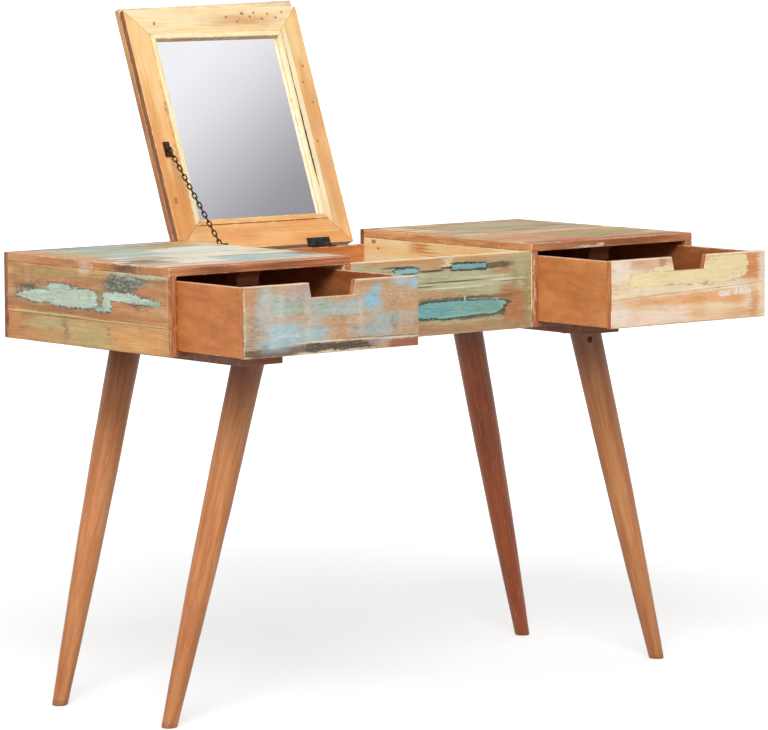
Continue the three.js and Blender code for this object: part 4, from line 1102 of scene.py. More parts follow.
def mirror_frame_finishes():
    """The four members of the mirror's frame, their outer sides and backs painted dark as shade, and the
    four beads that hold the glass.
    """
    member = {"leaning": True, "ring_spacing": 9.0, "fibre": 0.14, "mottle": 0.05, "rim": (176, 112, 60)}
    bead = {"leaning": True, "rings": 0.2, "ring_spacing": 4.0, "ring_colour": (236, 208, 146),
            "fibre": 0.1, "mottle": 0.04, "bare": (255, 246, 214), "edge_wear": 0.2, "band": 6.0}
    split = [("crack", 0.7, (186, 136, 82), [(-4, 387.0, 150, 0.6)])]
    # The frame's outer sides and backs: a dark brown that is painted shade
    edge = tones((112, 68, 38), (142, 90, 50), (170, 112, 66))
    return {
        "frame_left": board_finish(
            "honey_pine_stile", (Z, X), HONEY, LEFT_STILE_COATS, rings=0.18, ring_colour=(218, 146, 80),
            bare=(254, 226, 176), seed=38.0, **member),
        "frame_right": board_finish(
            "tan_pine_stile", (Z, X), TAN_HONEY, RIGHT_STILE_COATS, rings=0.16,
            ring_colour=(226, 164, 100), bare=(255, 236, 196), seed=39.0, **member),
        "frame_top": board_finish(
            "pale_pine_top_rail", (X, Z), PALE_HONEY, TOP_RAIL_COATS, rings=0.2,
            ring_colour=(240, 190, 124), bare=(255, 240, 204), seed=40.0, **member),
        "frame_bottom": board_finish(
            "honey_pine_low_rail", (X, Z), HONEY, LOW_RAIL_COATS, rings=0.2, ring_colour=(218, 146, 80),
            bare=(254, 226, 176), seed=41.0, **member),
        "shaded_frame_side": board_finish(
            "dark_frame_edge", (Z, Y), edge, leaning=True, fibre=0.2, bare=(190, 130, 80),
            edge_wear=0.08, band=5.0, seed=42.0),
        "bead_left": board_finish("pale_bead_upright", (Z, X), PALE_BEAD, seed=43.0, **bead),
        "bead_right": board_finish(
            "pale_bead_split", (Z, X), PALE_BEAD, RIGHT_BEAD_COATS, seed=43.5, **bead),
        "bead_top": board_finish("pale_bead_level", (X, Z), PALE_BEAD, split, seed=44.0, **bead),
        "bead_bottom": board_finish("honey_bead_level", (X, Z), HONEY, seed=45.0, **bead),
    }


def lid_finishes():
    """The lid's worn outer plank and its edges."""
    side = tones((178, 122, 74), (204, 148, 96), (224, 176, 124))
    margin = tones((150, 92, 52), (178, 116, 70), (198, 138, 90))
    edge = {"leaning": True, "fibre": 0.2, "band": 6.0}
    return {
        "lid_back": board_finish(
            "worn_lid_plank", (X, Z), PALE_TOP, LID_BACK_COATS, leaning=True, pale=(226, 216, 190),
            pale_amount=0.5, dark=(110, 92, 72), dark_amount=0.5, cracks=0.4, streak=5.0, seed=46.0),
        "lid_side": board_finish(
            "lid_plank_edge", (Z, Y), side, LID_SIDE_COATS, bare=(206, 150, 100), edge_wear=0.06,
            seed=47.0, **edge),
        "lid_margin": board_finish(
            "lid_front_margin", (X, Z), margin, [("wash", 1.0, (255, 238, 200), [(0, 447, 230, 10)])],
            bare=(206, 150, 100), edge_wear=0.06, seed=47.5, **edge),
        "lid_top": board_finish(
            "pale_lid_top_edge", (X, Y), PALE_HONEY, bare=(255, 240, 210), edge_wear=0.2,
            dark=(196, 140, 84), dark_amount=0.3, seed=48.0, **edge),
    }


def leg_and_metal_finishes():
    """The stained legs, the chain and its fittings, the hinges, the leg's screw and the mirror."""
    golden = tones((182, 110, 58), (200, 130, 75), (214, 149, 94))
    red = tones((154, 71, 27), (173, 85, 33), (187, 100, 43))
    return {
        "golden_leg": leg_finish("golden_stained_leg", golden, (150, 82, 42)),
        "red_leg": leg_finish("red_stained_leg", red, (112, 50, 20)),
        "bronze": metal_finish("dark_bronze", (38, 27, 19), (86, 60, 40), 0.36, 7.0, (150, 110, 76)),
        "iron": metal_finish("dark_hinge_iron", (34, 34, 33), (66, 64, 60), 0.34, 9.0, (128, 128, 124)),
        "steel": metal_finish("dull_steel", (84, 80, 76), (130, 126, 120), 0.34, 9.0, (176, 172, 166)),
        "mirror": mirror_finish(),
    }


def make_finishes():
    """Every wood, paint, metal and glass on the dressing table, by its own name."""
    return {
        **end_and_front_finishes(),
        **top_finishes(),
        **case_finishes(),
        **drawer_finishes(),
        **mirror_frame_finishes(),
        **lid_finishes(),
        **leg_and_metal_finishes(),
    }


# Boards

FACES = {
    "left": Vector((-1, 0, 0)),
    "right": Vector((1, 0, 0)),
    "front": Vector((0, -1, 0)),
    "back": Vector((0, 1, 0)),
    "under": Vector((0, 0, -1)),
    "top": Vector((0, 0, 1)),
}
# A face takes the finish of a side when it turns towards it by at least this cosine
SIDE_FACING = 0.6
MERGE_REACH = 0.002
FLAT_ANGLE = math.radians(0.4)
SHARP_ANGLE = math.radians(30)
# Where boards are cut so that their edges can wear, in millimetres: along their length, the other ways, and
# in from each face, where the board is so many times as thick
CUT_SPACING = 9.0
WIDE_CUT_SPACING = 27.0
CUT_REACHES = (1.4, 2.8, 5.0, 8.0)
CUT_ROOM = 2.5
CUT_SNAP = 0.02
# How far from an edge the finish wears, the least and greatest rounding of an edge, and how much further
# than that a tight face keeps it away; all in millimetres
WEAR_REACH = 6.0
LEAST_ROUNDING = 0.9
MOST_ROUNDING = 5.0
TIGHT_ROOM = 0.5
# How finely an edge's rounding wanders and is knocked, from what level of the noise, and how deep knocks go
WANDER_FINENESS = 0.021
WANDER_LAYERS = (1.0, 2.0, 4)
WANDER_FROM = -0.15
KNOCK_FINENESS = 0.11
KNOCK_FROM = 0.25
KNOCK_DEPTH = 1.6
# A sloping upper edge starts to fall at this share of the board's height
SLOPE_FROM = 0.9


def case_turn(leaning):
    """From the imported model's metres to the case's millimetres; leaning also stands the lid upright."""
    to_case = Matrix.Translation((0.0, CASE_FORWARD, 0.0)) @ Matrix.Scale(METRE, 4)
    if not leaning:
        return to_case
    return Matrix.Rotation(LID_LEAN, 4, "X") @ Matrix.Translation(-HINGE_LINE) @ to_case


def merged_shape(node, turn):
    """A CAD node's loose triangles as one shape with flat faces, in millimetres."""
    shape = bmesh.new()
    shape.from_mesh(frame["nodes"][node].data)
    bmesh.ops.transform(shape, matrix=turn, verts=shape.verts)
    bmesh.ops.remove_doubles(shape, verts=shape.verts, dist=MERGE_REACH)
    bmesh.ops.dissolve_limit(shape, angle_limit=FLAT_ANGLE, verts=shape.verts, edges=shape.edges)
    return shape


def corners(shape):
    places = [vert.co for vert in shape.verts]
    low = Vector(min(place[axis] for place in places) for axis in range(3))
    high = Vector(max(place[axis] for place in places) for axis in range(3))
    return low, high


def cut(shape, place, normal, snap=CUT_SNAP):
    """Cuts a shape's faces along a plane and leaves both sides."""
    geometry = shape.verts[:] + shape.edges[:] + shape.faces[:]
    bmesh.ops.bisect_plane(shape, geom=geometry, dist=snap, plane_co=place, plane_no=normal)


def slice_shape(shape, low, high):
    """Cuts across the grain at even steps, and close to each face, so that edges can wear."""
    size = high - low
    long_axis = max(range(3), key=lambda axis: size[axis])
    for axis in range(3):
        spacing = CUT_SPACING if axis == long_axis else WIDE_CUT_SPACING
        count = int(size[axis] / spacing)
        cuts = [low[axis] + size[axis] * step / count for step in range(1, count)] if count > 1 else []
        for reach in CUT_REACHES:
            if size[axis] > reach * CUT_ROOM:
                cuts += [low[axis] + reach, high[axis] - reach]
        normal = Vector((0, 0, 0))
        normal[axis] = 1
        for place in cuts:
            cut(shape, normal * place, normal)


def close_to(side, place, low, high):
    """How far a place is from one face of the board's box, in millimetres."""
    facing = FACES[side]
    axis = max(range(3), key=lambda index: abs(facing[index]))
    return high[axis] - place[axis] if facing[axis] > 0 else place[axis] - low[axis]


def rounding_at(place, depth, seed):
    """How far an edge is rounded at a place: a little everywhere, more where it wandered or was knocked."""
    wander = noise.fractal(place * WANDER_FINENESS + Vector((seed, seed * 2, 5.0)), *WANDER_LAYERS)
    knock = noise.noise(place * KNOCK_FINENESS + Vector((seed, 3.0, seed)))
    worn = depth * max(0.0, wander - WANDER_FROM)
    knocked = depth * max(0.0, knock - KNOCK_FROM) * KNOCK_DEPTH
    return min(LEAST_ROUNDING + worn + knocked, MOST_ROUNDING)


def wear_shape(shape, low, high, depth, seed, tight):
    """Rounds the long edges by an amount that wanders, and records how close each point is to an edge.
    Edges of the tight faces meet a neighbour closely and stay as they are."""
    layer = shape.verts.layers.float.new("wear")
    for vert in shape.verts:
        place = vert.co.copy()
        near = [min(place[axis] - low[axis], high[axis] - place[axis]) for axis in range(3)]
        close = sorted(near)
        vert[layer] = max(0.0, 1.0 - math.hypot(close[0], close[1]) / WEAR_REACH)
        radius = rounding_at(place, depth, seed)
        if any(close_to(side, place, low, high) < radius + TIGHT_ROOM for side in tight):
            continue
        for first, second in ((0, 1), (1, 2), (0, 2)):
            if near[first] < radius and near[second] < radius:
                reach = math.hypot(radius - near[first], radius - near[second])
                if reach > radius:
                    near[first] = radius + (near[first] - radius) * radius / reach
                    near[second] = radius + (near[second] - radius) * radius / reach
        for axis in range(3):
            if place[axis] - low[axis] < high[axis] - place[axis]:
                vert.co[axis] = low[axis] + near[axis]
            else:
                vert.co[axis] = high[axis] - near[axis]


def new_object(name, data):
    made = bpy.data.objects.new(name, data)
    bpy.context.scene.collection.objects.link(made)
    return made


def new_piece(name, shape, turn, materials, node):
    """Turns a shape into a piece that stands for a CAD node and moves with its body."""
    bmesh.ops.transform(shape, matrix=turn.inverted(), verts=shape.verts)
    bmesh.ops.recalc_face_normals(shape, faces=shape.faces)
    mesh = bpy.data.meshes.new(name)
    shape.to_mesh(mesh)
    shape.free()
    stored = mesh.attributes.get("custom_normal")
    if stored:
        mesh.attributes.remove(stored)
    mesh.shade_smooth()
    mesh.set_sharp_from_angle(angle=SHARP_ANGLE)
    for material in materials:
        mesh.materials.append(material)
    piece = new_object(name, mesh)
    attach(piece, frame["nodes"][node]["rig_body"])
    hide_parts(node)
    return piece


def slope_top(shape, low, high, fall):
    """Lets a board's upper edge fall towards its left corner."""
    for vert in shape.verts:
        across = (high.x - vert.co.x) / (high.x - low.x)
        rise = (vert.co.z - low.z) / (high.z - low.z)
        vert.co.z -= fall * across * max(0.0, rise - SLOPE_FROM) / (1 - SLOPE_FROM)


def worn_board(node, faces, other, depth, leaning=False, seed=0.0, tight=(), fall=0.0):
    """Replaces a CAD board by one with knocked edges and a finish for each of its faces."""
    turn = case_turn(leaning)
    shape = merged_shape(node, turn)
    low, high = corners(shape)
    slice_shape(shape, low, high)
    wear_shape(shape, low, high, depth, seed, tight)
    if fall:
        slope_top(shape, low, high, fall)
    shape.normal_update()
    for face in shape.faces:
        best = SIDE_FACING
        for index, side in enumerate(faces, start=1):
            facing = face.normal.dot(FACES[side])
            if facing > best:
                best = facing
                face.material_index = index
    return new_piece("worn_" + node, shape, turn, [other, *faces.values()], node)


def dress(node, material):
    """Gives a CAD node that keeps its shape a finish."""
    for slot in frame["nodes"][node].material_slots:
        slot.material = material


# Legs

LEG_RINGS = 60
# Closer rings at the foot, and how the foot is worn: up to this height, by this much; all in millimetres
FOOT_RINGS = (0.7, 1.6, 3.2)
FOOT_WEAR_HEIGHT = 3.2
FOOT_WEAR = 1.9
# How far and how finely a leg wavers, how much slimmer it gets, and what keeps still: the wood about its
# axis and its upper end
WAVER = 0.35
WAVER_FINENESS = 0.02
WAVER_SHRINK = 0.1
STILL_CORE = 8.0
STILL_END = 1.0
# The points that end a leg, within this height
END_HEIGHT = 0.5
# How far apart in the grain the legs lie
LEG_SEED_STEP = 90


def ring_middle(shape, low, high):
    """The middle of the points whose height lies between two others."""
    ring = [vert.co for vert in shape.verts if low < vert.co.z < high]
    return sum(ring, Vector()) / len(ring)


def turned_leg(node, material, seed):
    """A leg with smooth sides, the faint waver of hand turning, and a place of its own in the grain."""
    turn = case_turn(False)
    shape = merged_shape(node, turn)
    low, high = corners(shape)
    heights = [low.z + rise for rise in FOOT_RINGS]
    heights += [low.z + (high.z - low.z) * step / LEG_RINGS for step in range(1, LEG_RINGS)]
    for height in heights:
        cut(shape, (0, 0, height), (0, 0, 1))
    foot = ring_middle(shape, -math.inf, low.z + END_HEIGHT)
    top = ring_middle(shape, high.z - END_HEIGHT, math.inf)
    along = (top - foot).normalized()
    across = along.cross(Vector((0, 1, 0))).normalized()
    beside = along.cross(across)
    layer = shape.verts.layers.float_vector.new("along_leg")
    for vert in shape.verts:
        out = vert.co - foot
        distance = out.dot(along)
        spoke = out - along * distance
        vert[layer] = Vector((distance, spoke.dot(across) + seed * LEG_SEED_STEP, spoke.dot(beside)))
        if vert.co.z < high.z - STILL_END and spoke.length > STILL_CORE:
            waver = noise.noise(vert.co * WAVER_FINENESS + Vector((seed, 0, 0)))
            rise = max(0.0, FOOT_WEAR_HEIGHT - (vert.co.z - low.z)) / FOOT_WEAR_HEIGHT
            worn_foot = FOOT_WEAR * (1.0 - math.sqrt(1.0 - rise * rise))
            vert.co += spoke.normalized() * (WAVER * waver - WAVER_SHRINK - worn_foot)
    return new_piece("turned_" + node, shape, turn, [material], node)


# Chain and screws, in metres

CHAIN_LINKS = 27
CHAIN_WIRE = 0.0024
CHAIN_WIDTH = 0.0086
CHAIN_SEAT = 0.0004
CHAIN_TURN = math.radians(8.0)
CHAIN_BOW_STEPS = 16
CHAIN_WIRE_SIDES = 8
# A screw head: the height and radius of its rings, then its slot
SCREW_RINGS = ((0.0, 0.0021), (0.0003, 0.0021), (0.0007, 0.0015), (0.0009, 0.0008))
SCREW_SIDES = 16
SCREW_SNAP = 1e-6
# The slot's half width and floor; it takes only upward faces, and points above a lowest height
SLOT_HALF = 0.0002
SLOT_FLOOR = 0.0006
SLOT_LOWEST = 0.0005
SLOT_UPWARD = 0.3
SCREW_SUNK = 0.0001
# The hinge screws lie nearly flush, so that the leaves fold flat
SUNK_HEAD = 0.22
# Screws as shares of a fitting's width and lengths back from its far edge
HINGE_SCREWS = ((0.16, 0.0055), (0.5, 0.0065), (0.84, 0.0055))
BRACKET_SCREWS = ((0.5, 0.0035),)
PLATE_END = 0.002


def ring_curve(wires, steps, radius):
    ring = wires.add("GeometryNodeCurvePrimitiveCircle", mode="RADIUS")
    ring.inputs["Resolution"].default_value = steps
    wires.feed(ring.inputs["Radius"], radius)
    return ring.outputs["Curve"]


def finish_tree(wires, result, geometry, metal):
    """Ends a geometry tree: real meshes in their own metal."""
    real = wires.add("GeometryNodeRealizeInstances", {"Geometry": geometry})
    dressed = wires.add("GeometryNodeSetMaterial", {"Geometry": real.outputs[0], "Material": metal})
    wires.feed(result["Geometry"], dressed.outputs[0])


def chain_tree():
    """Oval wire links strung on a path, every second one turned a quarter."""
    wires, given, result, identifiers = new_group(
        "Chain links",
        [
            ("Geometry", "Geometry", None),
            ("Int", "Links", 3),
            ("Float", "Straight", 0.006),
            ("Float", "Bow radius", 0.0036),
            ("Float", "Wire radius", 0.0012),
            ("Float", "Turn", 0.0),
            ("Material", "Metal", None),
        ],
        [("Geometry", "Geometry")],
        "Geometry",
    )
    points = wires.add("GeometryNodeResampleCurve", {"Curve": given["Geometry"]}, mode="COUNT")
    wires.feed(points.inputs["Count"], given["Links"])
    bow = ring_curve(wires, CHAIN_BOW_STEPS, given["Bow radius"])
    position = wires.add("GeometryNodeInputPosition").outputs[0]
    never_zero = 0.00001
    side = wires.math("SIGN", wires.math("ADD", wires.split(position)[0], never_zero))
    shift = wires.join(wires.times(side, wires.times(given["Straight"], 0.5)))
    oval = wires.add("GeometryNodeSetPosition", {"Geometry": bow, "Offset": shift}).outputs[0]
    wire = ring_curve(wires, CHAIN_WIRE_SIDES, given["Wire radius"])
    link = wires.add("GeometryNodeCurveToMesh", {"Curve": oval, "Profile Curve": wire}).outputs[0]
    strung = wires.add("GeometryNodeInstanceOnPoints", {"Points": points.outputs[0], "Instance": link})
    tangent = wires.add("GeometryNodeInputTangent").outputs[0]
    pointed = wires.add("FunctionNodeAlignRotationToVector", {"Vector": tangent}, axis="X").outputs[0]
    odd = wires.math("MODULO", wires.add("GeometryNodeInputIndex").outputs[0], 2.0)
    twist = wires.math("MULTIPLY_ADD", odd, math.pi / 2, given["Turn"])
    quarter = wires.add("FunctionNodeEulerToRotation", {0: wires.join(twist)}).outputs[0]
    turned = wires.add("FunctionNodeRotateRotation", {0: pointed, 1: quarter}, rotation_space="LOCAL")
    wires.feed(strung.inputs["Rotation"], turned.outputs[0])
    smooth = wires.add("GeometryNodeSetShadeSmooth", {"Geometry": strung.outputs[0]})
    finish_tree(wires, result, smooth.outputs[0], given["Metal"])
    return wires.tree, identifiers


def screw_tree():
    """A screw head on every point, standing along the point's own direction."""
    wires, given, result, identifiers = new_group(
        "Screw heads",
        [("Geometry", "Geometry", None), ("Object", "Head", None), ("Material", "Metal", None)],
        [("Geometry", "Geometry")],
        "Geometry",
    )
    head = wires.add("GeometryNodeObjectInfo", {"Object": given["Head"]}).outputs["Geometry"]
    strung = wires.add("GeometryNodeInstanceOnPoints", {"Points": given["Geometry"], "Instance": head})
    named = {"Name": "facing"}
    facing = wires.add("GeometryNodeInputNamedAttribute", named, data_type="FLOAT_VECTOR").outputs[0]
    pointed = wires.add("FunctionNodeAlignRotationToVector", {"Vector": facing}, axis="Z").outputs[0]
    wires.feed(strung.inputs["Rotation"], pointed)
    finish_tree(wires, result, strung.outputs[0], given["Metal"])
    return wires.tree, identifiers


def finished_from(source, tree, values, name):
    """Runs a geometry tree on a source object and keeps the result as a plain mesh."""
    modifier = source.modifiers.new("make", "NODES")
    modifier.node_group = tree
    for identifier, value in values.items():
        modifier[identifier] = value
    bpy.context.view_layer.update()
    graph = bpy.context.evaluated_depsgraph_get()
    mesh = bpy.data.meshes.new_from_object(source.evaluated_get(graph), depsgraph=graph)
    mesh.name = name
    bpy.data.objects.remove(source)
    return new_object(name, mesh)


def add_chain(material):
    """The stay chain: the solid's own line, strung with round-wire links."""
    mesh = frame["nodes"]["stay_chain"].data
    places = np.array([tuple(vert.co) for vert in mesh.vertices])
    middle = (places.min(axis=0) + places.max(axis=0)) / 2
    _, axes = np.linalg.eigh(np.cov((places - places.mean(axis=0)).T))
    along = axes[:, 2] if axes[2, 2] > 0 else -axes[:, 2]
    reach = (places - middle) @ along
    length = reach.max() - reach.min()
    inner = (length - 2 * CHAIN_WIRE - (CHAIN_LINKS - 1) * CHAIN_SEAT) / CHAIN_LINKS
    start = middle + along * (reach.min() + CHAIN_WIRE + inner / 2)
    end = middle + along * (reach.max() - CHAIN_WIRE - inner / 2)
    curve = bpy.data.curves.new("chain_line", "CURVE")
    curve.dimensions = "3D"
    spline = curve.splines.new("POLY")
    spline.points.add(1)
    spline.points[0].co = (*start, 1)
    spline.points[1].co = (*end, 1)
    line = new_object("chain_line", curve)
    tree, identifiers = chain_tree()
    bow = (CHAIN_WIDTH - CHAIN_WIRE) / 2
    piece = finished_from(line, tree, {
        identifiers["Links"]: CHAIN_LINKS,
        identifiers["Straight"]: float(inner + CHAIN_WIRE - 2 * bow),
        identifiers["Bow radius"]: bow,
        identifiers["Wire radius"]: CHAIN_WIRE / 2,
        identifiers["Turn"]: CHAIN_TURN,
        identifiers["Metal"]: material,
    }, "chain_links")
    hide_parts("stay_chain")
    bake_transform(piece)


def screw_head_shape(rise):
    """A low domed head with a straight slot, standing on its own origin; rise scales its height."""
    shape = bmesh.new()
    loops = []
    for height, radius in SCREW_RINGS:
        loop = []
        for step in range(SCREW_SIDES):
            angle = FULL_TURN * (step + 0.5) / SCREW_SIDES
            loop.append(shape.verts.new((radius * math.cos(angle), radius * math.sin(angle), height)))
        loops.append(loop)
    for lower, upper in zip(loops, loops[1:]):
        for step in range(SCREW_SIDES):
            after = (step + 1) % SCREW_SIDES
            shape.faces.new((lower[step], lower[after], upper[after], upper[step]))
    shape.faces.new(list(reversed(loops[0])))
    shape.faces.new(loops[-1])
    for offset in (-SLOT_HALF, SLOT_HALF):
        cut(shape, (0, offset, 0), (0, 1, 0), SCREW_SNAP)
    for face in list(shape.faces):
        if abs(face.calc_center_median().y) < SLOT_HALF and face.normal.z > SLOT_UPWARD:
            for vert in face.verts:
                if vert.co.z > SLOT_LOWEST:
                    vert.co.z = min(vert.co.z, SLOT_FLOOR)
    for vert in shape.verts:
        vert.co.z *= rise
    return shape


def add_screws(name, node, places, facing, material, rise):
    """Screw heads on a fitting, each standing along facing."""
    head_mesh = bpy.data.meshes.new(name + "_head")
    shape = screw_head_shape(rise)
    bmesh.ops.recalc_face_normals(shape, faces=shape.faces)
    shape.to_mesh(head_mesh)
    shape.free()
    head = new_object(name + "_head", head_mesh)
    points = bpy.data.meshes.new(name + "_points")
    points.from_pydata([tuple(place) for place in places], [], [])
    directions = points.attributes.new("facing", "FLOAT_VECTOR", "POINT")
    for entry in directions.data:
        entry.vector = facing
    source = new_object(name + "_points", points)
    tree, identifiers = screw_tree()
    values = {identifiers["Head"]: head, identifiers["Metal"]: material}
    piece = finished_from(source, tree, values, name)
    bpy.data.objects.remove(head)
    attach(piece, frame["nodes"][node]["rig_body"])
    return piece


def screw_down(node, spots, material, rise=1.0):
    """Screw heads on a flat fitting of the lid: shares of its width, and lengths back from its far edge."""
    along = Vector((0.0, math.sin(LID_LEAN), math.cos(LID_LEAN)))
    facing = Vector((0.0, -math.cos(LID_LEAN), math.sin(LID_LEAN)))
    fitting = frame["nodes"][node]
    places = [fitting.matrix_world @ vert.co for vert in fitting.data.vertices]
    far = max(place.dot(along) for place in places)
    plate = [place for place in places if place.dot(along) > far - PLATE_END]
    face = max(place.dot(facing) for place in plate)
    start = min(place.x for place in plate)
    width = max(place.x for place in plate) - start
    heads = []
    for share, back in spots:
        across = Vector((start + width * share, 0.0, 0.0))
        heads.append(across + along * (far - back) + facing * (face - SCREW_SUNK * rise))
    add_screws(node + "_screws", node, heads, facing, material, rise)


def add_fitting_screws(material):
    for side in ("left", "right"):
        screw_down(f"{side}_hinge_upper_leaf", HINGE_SCREWS, material, SUNK_HEAD)
    screw_down("chain_bracket", BRACKET_SCREWS, material)


# The dressing table


def add_tops(done):
    planks = 4
    for side, seed in (("left", 8), ("right", 0)):
        faces = {
            "top": done[f"{side}_top"],
            "front": done["top_edge"],
            "left": done["left_top_end" if side == "left" else "end_grain"],
            "right": done["end_grain"],
        }
        for number in range(1, planks + 1):
            joints = [face for face, edge in (("front", 1), ("back", planks)) if number != edge]
            worn_board(f"{side}_top_plank_{number}", faces, done["plain_tan"], 1.8,
                       seed=number + seed, tight=("under", *joints))


def add_case(done):
    tan = done["plain_tan"]
    ends = {"left": done["left_end"], "front": done["post"]}
    right_end = {"right": done["left_end"], "front": done["post"]}
    walls = {"front": done["post"], "left": done["yellow_pine"], "right": done["yellow_pine"]}
    backs = {"left": done["batten"], "right": done["batten"]}
    worn_board("left_end_upper_board", ends, tan, 0.8, seed=21, tight=("top", "under"))
    worn_board("left_end_lower_board", ends, tan, 1.8, seed=22, tight=("top",))
    worn_board("right_end_board", right_end, tan, 1.4, seed=23, tight=("top",))
    worn_board("centre_front_panel", {"front": done["centre"]}, done["yellow_pine"], 1.4,
               seed=24)
    for side in ("left", "right"):
        worn_board(f"{side}_inner_side", walls, tan, 1.0, seed=25, tight=("top",))
        worn_board(f"{side}_back_panel", backs, done["brown_ply"], 0.6, seed=27)
        for part in ("cabinet_bottom", "kicker_rail", "leg_batten"):
            dress(f"{side}_{part}", done["batten"])
        dress(f"{side}_batten_bolt", done["bronze"])
        for leaf in ("lower", "upper"):
            dress(f"{side}_hinge_{leaf}_leaf", done["iron"])
    worn_board("centre_back_rail", {}, done["orange_pine"], 1.0, seed=26)
    dress("centre_bottom", done["brown_ply"])
    dress("chain_bracket", done["bronze"])
    dress("chain_screw_eye", done["bronze"])


def add_drawers(done):
    edge = done["ply_edge"]
    # The backs of the fronts and the inward faces of the sides take the ply painted darker as shade
    ends = {"left": done["front_end"], "right": done["front_end"], "back": done["shaded_inner_back"]}
    left = {"front": done["left_front"], **ends}
    right = {"front": done["right_front"], **ends}
    worn_board("left_drawer_front", left, edge, 1.4, seed=31)
    worn_board("right_drawer_front_upper", right, edge, 1.2, seed=32)
    worn_board("right_drawer_front_lower", right, edge, 1.2, seed=33)
    for side in ("left", "right"):
        for part, inward in (("left_side", "right"), ("right_side", "left")):
            faces = {"top": edge, inward: done["shaded_inner_ply"]}
            worn_board(f"{side}_drawer_{part}", faces, done[f"{side}_ply"], 0.6, seed=34)
        dress(f"{side}_drawer_back", done["shaded_inner_back"])
        dress(f"{side}_drawer_bottom", done["brown_ply"])


def add_lid(done):
    side, dark = done["lid_side"], done["shaded_frame_side"]
    board = {
        "back": done["lid_back"],
        "front": done["lid_margin"],
        "left": side,
        "right": side,
        "top": done["lid_top"],
        "under": done["lid_margin"],
    }
    worn_board("lid_board", board, side, 1.6, leaning=True, seed=41, fall=9.0)
    # The frame's outer sides and backs take the dark brown of painted shade; the top rail's top takes the
    # pale top
    for part, outer in (("left", "left"), ("right", "right"), ("top", "top"), ("bottom", "under")):
        faces = {outer: done["lid_top"] if part == "top" else dark, "back": dark}
        worn_board(f"lid_frame_{part}", faces, done[f"frame_{part}"], 0.8, leaning=True,
                   seed=42)
    for part in ("top", "bottom", "left", "right"):
        worn_board(f"mirror_bead_{part}", {}, done[f"bead_{part}"], 0.6, leaning=True, seed=46)
    dress("mirror_glass", done["mirror"])


def add_legs(done):
    legs = {
        "front_left_leg": "golden_leg",
        "back_left_leg": "golden_leg",
        "front_right_leg": "golden_leg",
        "back_right_leg": "red_leg",
    }
    for seed, (name, finish) in enumerate(legs.items()):
        turned_leg(name, done[finish], seed)
    dress("front_right_leg_screw", done["steel"])


# Camera, lamp, floor and background


def camera_directions():
    yaw, pitch, roll = (math.radians(angle) for angle in (CAMERA_YAW, CAMERA_PITCH, CAMERA_ROLL))
    level = Vector((math.cos(-yaw), -math.sin(-yaw), 0.0))
    ahead = math.cos(pitch)
    forward = Vector((math.sin(-yaw) * ahead, math.cos(-yaw) * ahead, -math.sin(pitch)))
    upright = level.cross(forward)
    right = level * math.cos(roll) + upright * math.sin(roll)
    up = -level * math.sin(roll) + upright * math.cos(roll)
    return forward, right, up


def add_camera():
    forward, right, up = camera_directions()
    data = bpy.data.cameras.new("photo_camera")
    data.sensor_width = SENSOR_WIDTH
    data.sensor_fit = "HORIZONTAL"
    data.lens = CAMERA_PIXELS / PICTURE_WIDTH * SENSOR_WIDTH
    data.clip_start, data.clip_end = SIGHT_LIMITS
    camera = new_object("photo_camera", data)
    turn = Matrix((right, up, -forward)).transposed().to_4x4()
    camera.matrix_world = Matrix.Translation(CAMERA_PLACE) @ turn
    bpy.context.scene.camera = camera


def seen_straight(wires, path):
    """One for sight that comes straight, by a mirror or through glass, and nothing for light."""
    thrown = wires.math("MAXIMUM", path["Is Glossy Ray"], path["Is Transmission Ray"])
    return wires.math("MAXIMUM", path["Is Camera Ray"], thrown)


def add_floor():
    """A wide floor that keeps the table's shadow and is white to the eye."""
    finish = Finish("studio_floor")
    place = finish.case_place()
    dust = finish.group("Grime", {"Place": place, "Size": 900.0})["Shade"]
    clean, dusty = ((shade, shade, shade, 1) for shade in (FLOOR_SHADE, FLOOR_SHADE * FLOOR_DUST))
    shader = finish.add("ShaderNodeBsdfDiffuse", {"Color": finish.mix(dust, clean, dusty)}).outputs[0]
    away = finish.measured("LENGTH", place)
    near, near_level = FLOOR_GLOW_NEAR
    far, far_level = FLOOR_GLOW_FAR
    level = finish.between(away, near, far, near_level, far_level)
    glow = finish.add("ShaderNodeEmission", {"Color": WHITE, "Strength": level}).outputs[0]
    both = finish.add("ShaderNodeAddShader", {0: shader, 1: glow}).outputs[0]
    shown = seen_straight(finish, finish.add("ShaderNodeLightPath").outputs)
    mixed = finish.add("ShaderNodeMixShader", {0: shown, 1: shader, 2: both})
    output = finish.add("ShaderNodeOutputMaterial")
    finish.links.new(mixed.outputs[0], output.inputs["Surface"])
    mesh = bpy.data.meshes.new("studio_floor")
    square = [(x * FLOOR_HALF, y * FLOOR_HALF, 0) for x, y in ((-1, -1), (1, -1), (1, 1), (-1, 1))]
    mesh.from_pydata(square, [], [(0, 1, 2, 3)])
    mesh.materials.append(finish.material)
    floor = new_object("studio_floor", mesh)


def mirror_sight(pixel_x, pixel_y):
    """The direction in which the mirror throws the camera's sight at a pixel of the photograph."""
    forward, right, up = camera_directions()
    across = (pixel_x - PICTURE_MIDDLE[0]) / CAMERA_PIXELS
    down = (pixel_y - PICTURE_MIDDLE[1]) / CAMERA_PIXELS
    sight = (forward + right * across - up * down).normalized()
    facing = Vector((0.0, -math.cos(LID_LEAN), math.sin(LID_LEAN)))
    return sight - facing * (2 * sight.dot(facing))


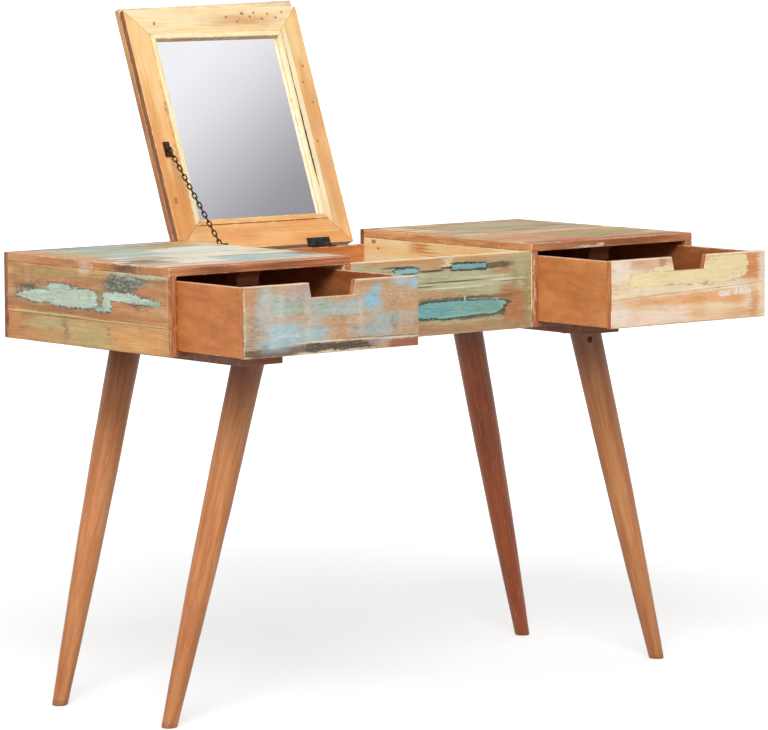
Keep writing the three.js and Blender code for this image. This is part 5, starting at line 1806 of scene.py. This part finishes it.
def add_world():
    """Even light, white to the eye, with a grey fade where the mirror looks."""
    world = bpy.data.worlds.new("studio")
    bpy.context.scene.world = world
    world.use_nodes = True
    world.node_tree.nodes.clear()
    wires = Wiring(world.node_tree)

    def background(colour, strength):
        return wires.add("ShaderNodeBackground", {"Color": colour, "Strength": strength}).outputs[0]

    pale, dim = mirror_sight(*MIRROR_PALE_PIXEL), mirror_sight(*MIRROR_DIM_PIXEL)
    across = (dim - pale).normalized()
    direction = wires.add("ShaderNodeTexCoord").outputs["Generated"]
    along = wires.measured("DOT_PRODUCT", direction, tuple(across))
    step = wires.between(along, pale.dot(across), dim.dot(across))
    card = background(wires.mix(step, seen(*MIRROR_PALE), seen(*MIRROR_DIM)), 1.0)
    light = background(WORLD_COLOUR, WORLD_LEVEL)
    path = wires.add("ShaderNodeLightPath").outputs
    first = wires.add("ShaderNodeMixShader", {0: path["Is Glossy Ray"], 1: light, 2: card}).outputs[0]
    straight = wires.math("MAXIMUM", path["Is Camera Ray"], path["Is Transmission Ray"])
    second = wires.add("ShaderNodeMixShader", {0: straight, 1: first, 2: background(WHITE, 1.0)})
    output = wires.add("ShaderNodeOutputWorld")
    wires.links.new(second.outputs[0], output.inputs["Surface"])


def add_lamp(name, place, aim, size, power, colour):
    data = bpy.data.lights.new(name, "AREA")
    data.shape = "DISK"
    data.size = size
    data.energy = power
    data.color = colour
    lamp = new_object(name, data)
    lamp.location = place
    lamp.rotation_euler = (Vector(aim) - Vector(place)).to_track_quat("-Z", "Y").to_euler()


add_camera()
for add_group in (add_wood_figure, add_old_paint, add_paint_layer, add_worn_edge, add_grime):
    add_group()
add_patch_outline("Patch outline", False)
add_patch_outline("Even outline", True)
finishes = make_finishes()
add_tops(finishes)
add_case(finishes)
add_drawers(finishes)
add_lid(finishes)
add_legs(finishes)
add_chain(finishes["bronze"])
add_fitting_screws(finishes["iron"])
add_floor()
add_world()
add_lamp("key_lamp", KEY_PLACE, KEY_AIM, KEY_SIZE, KEY_POWER, KEY_COLOUR)
bpy.context.scene.view_settings.view_transform = "Standard"
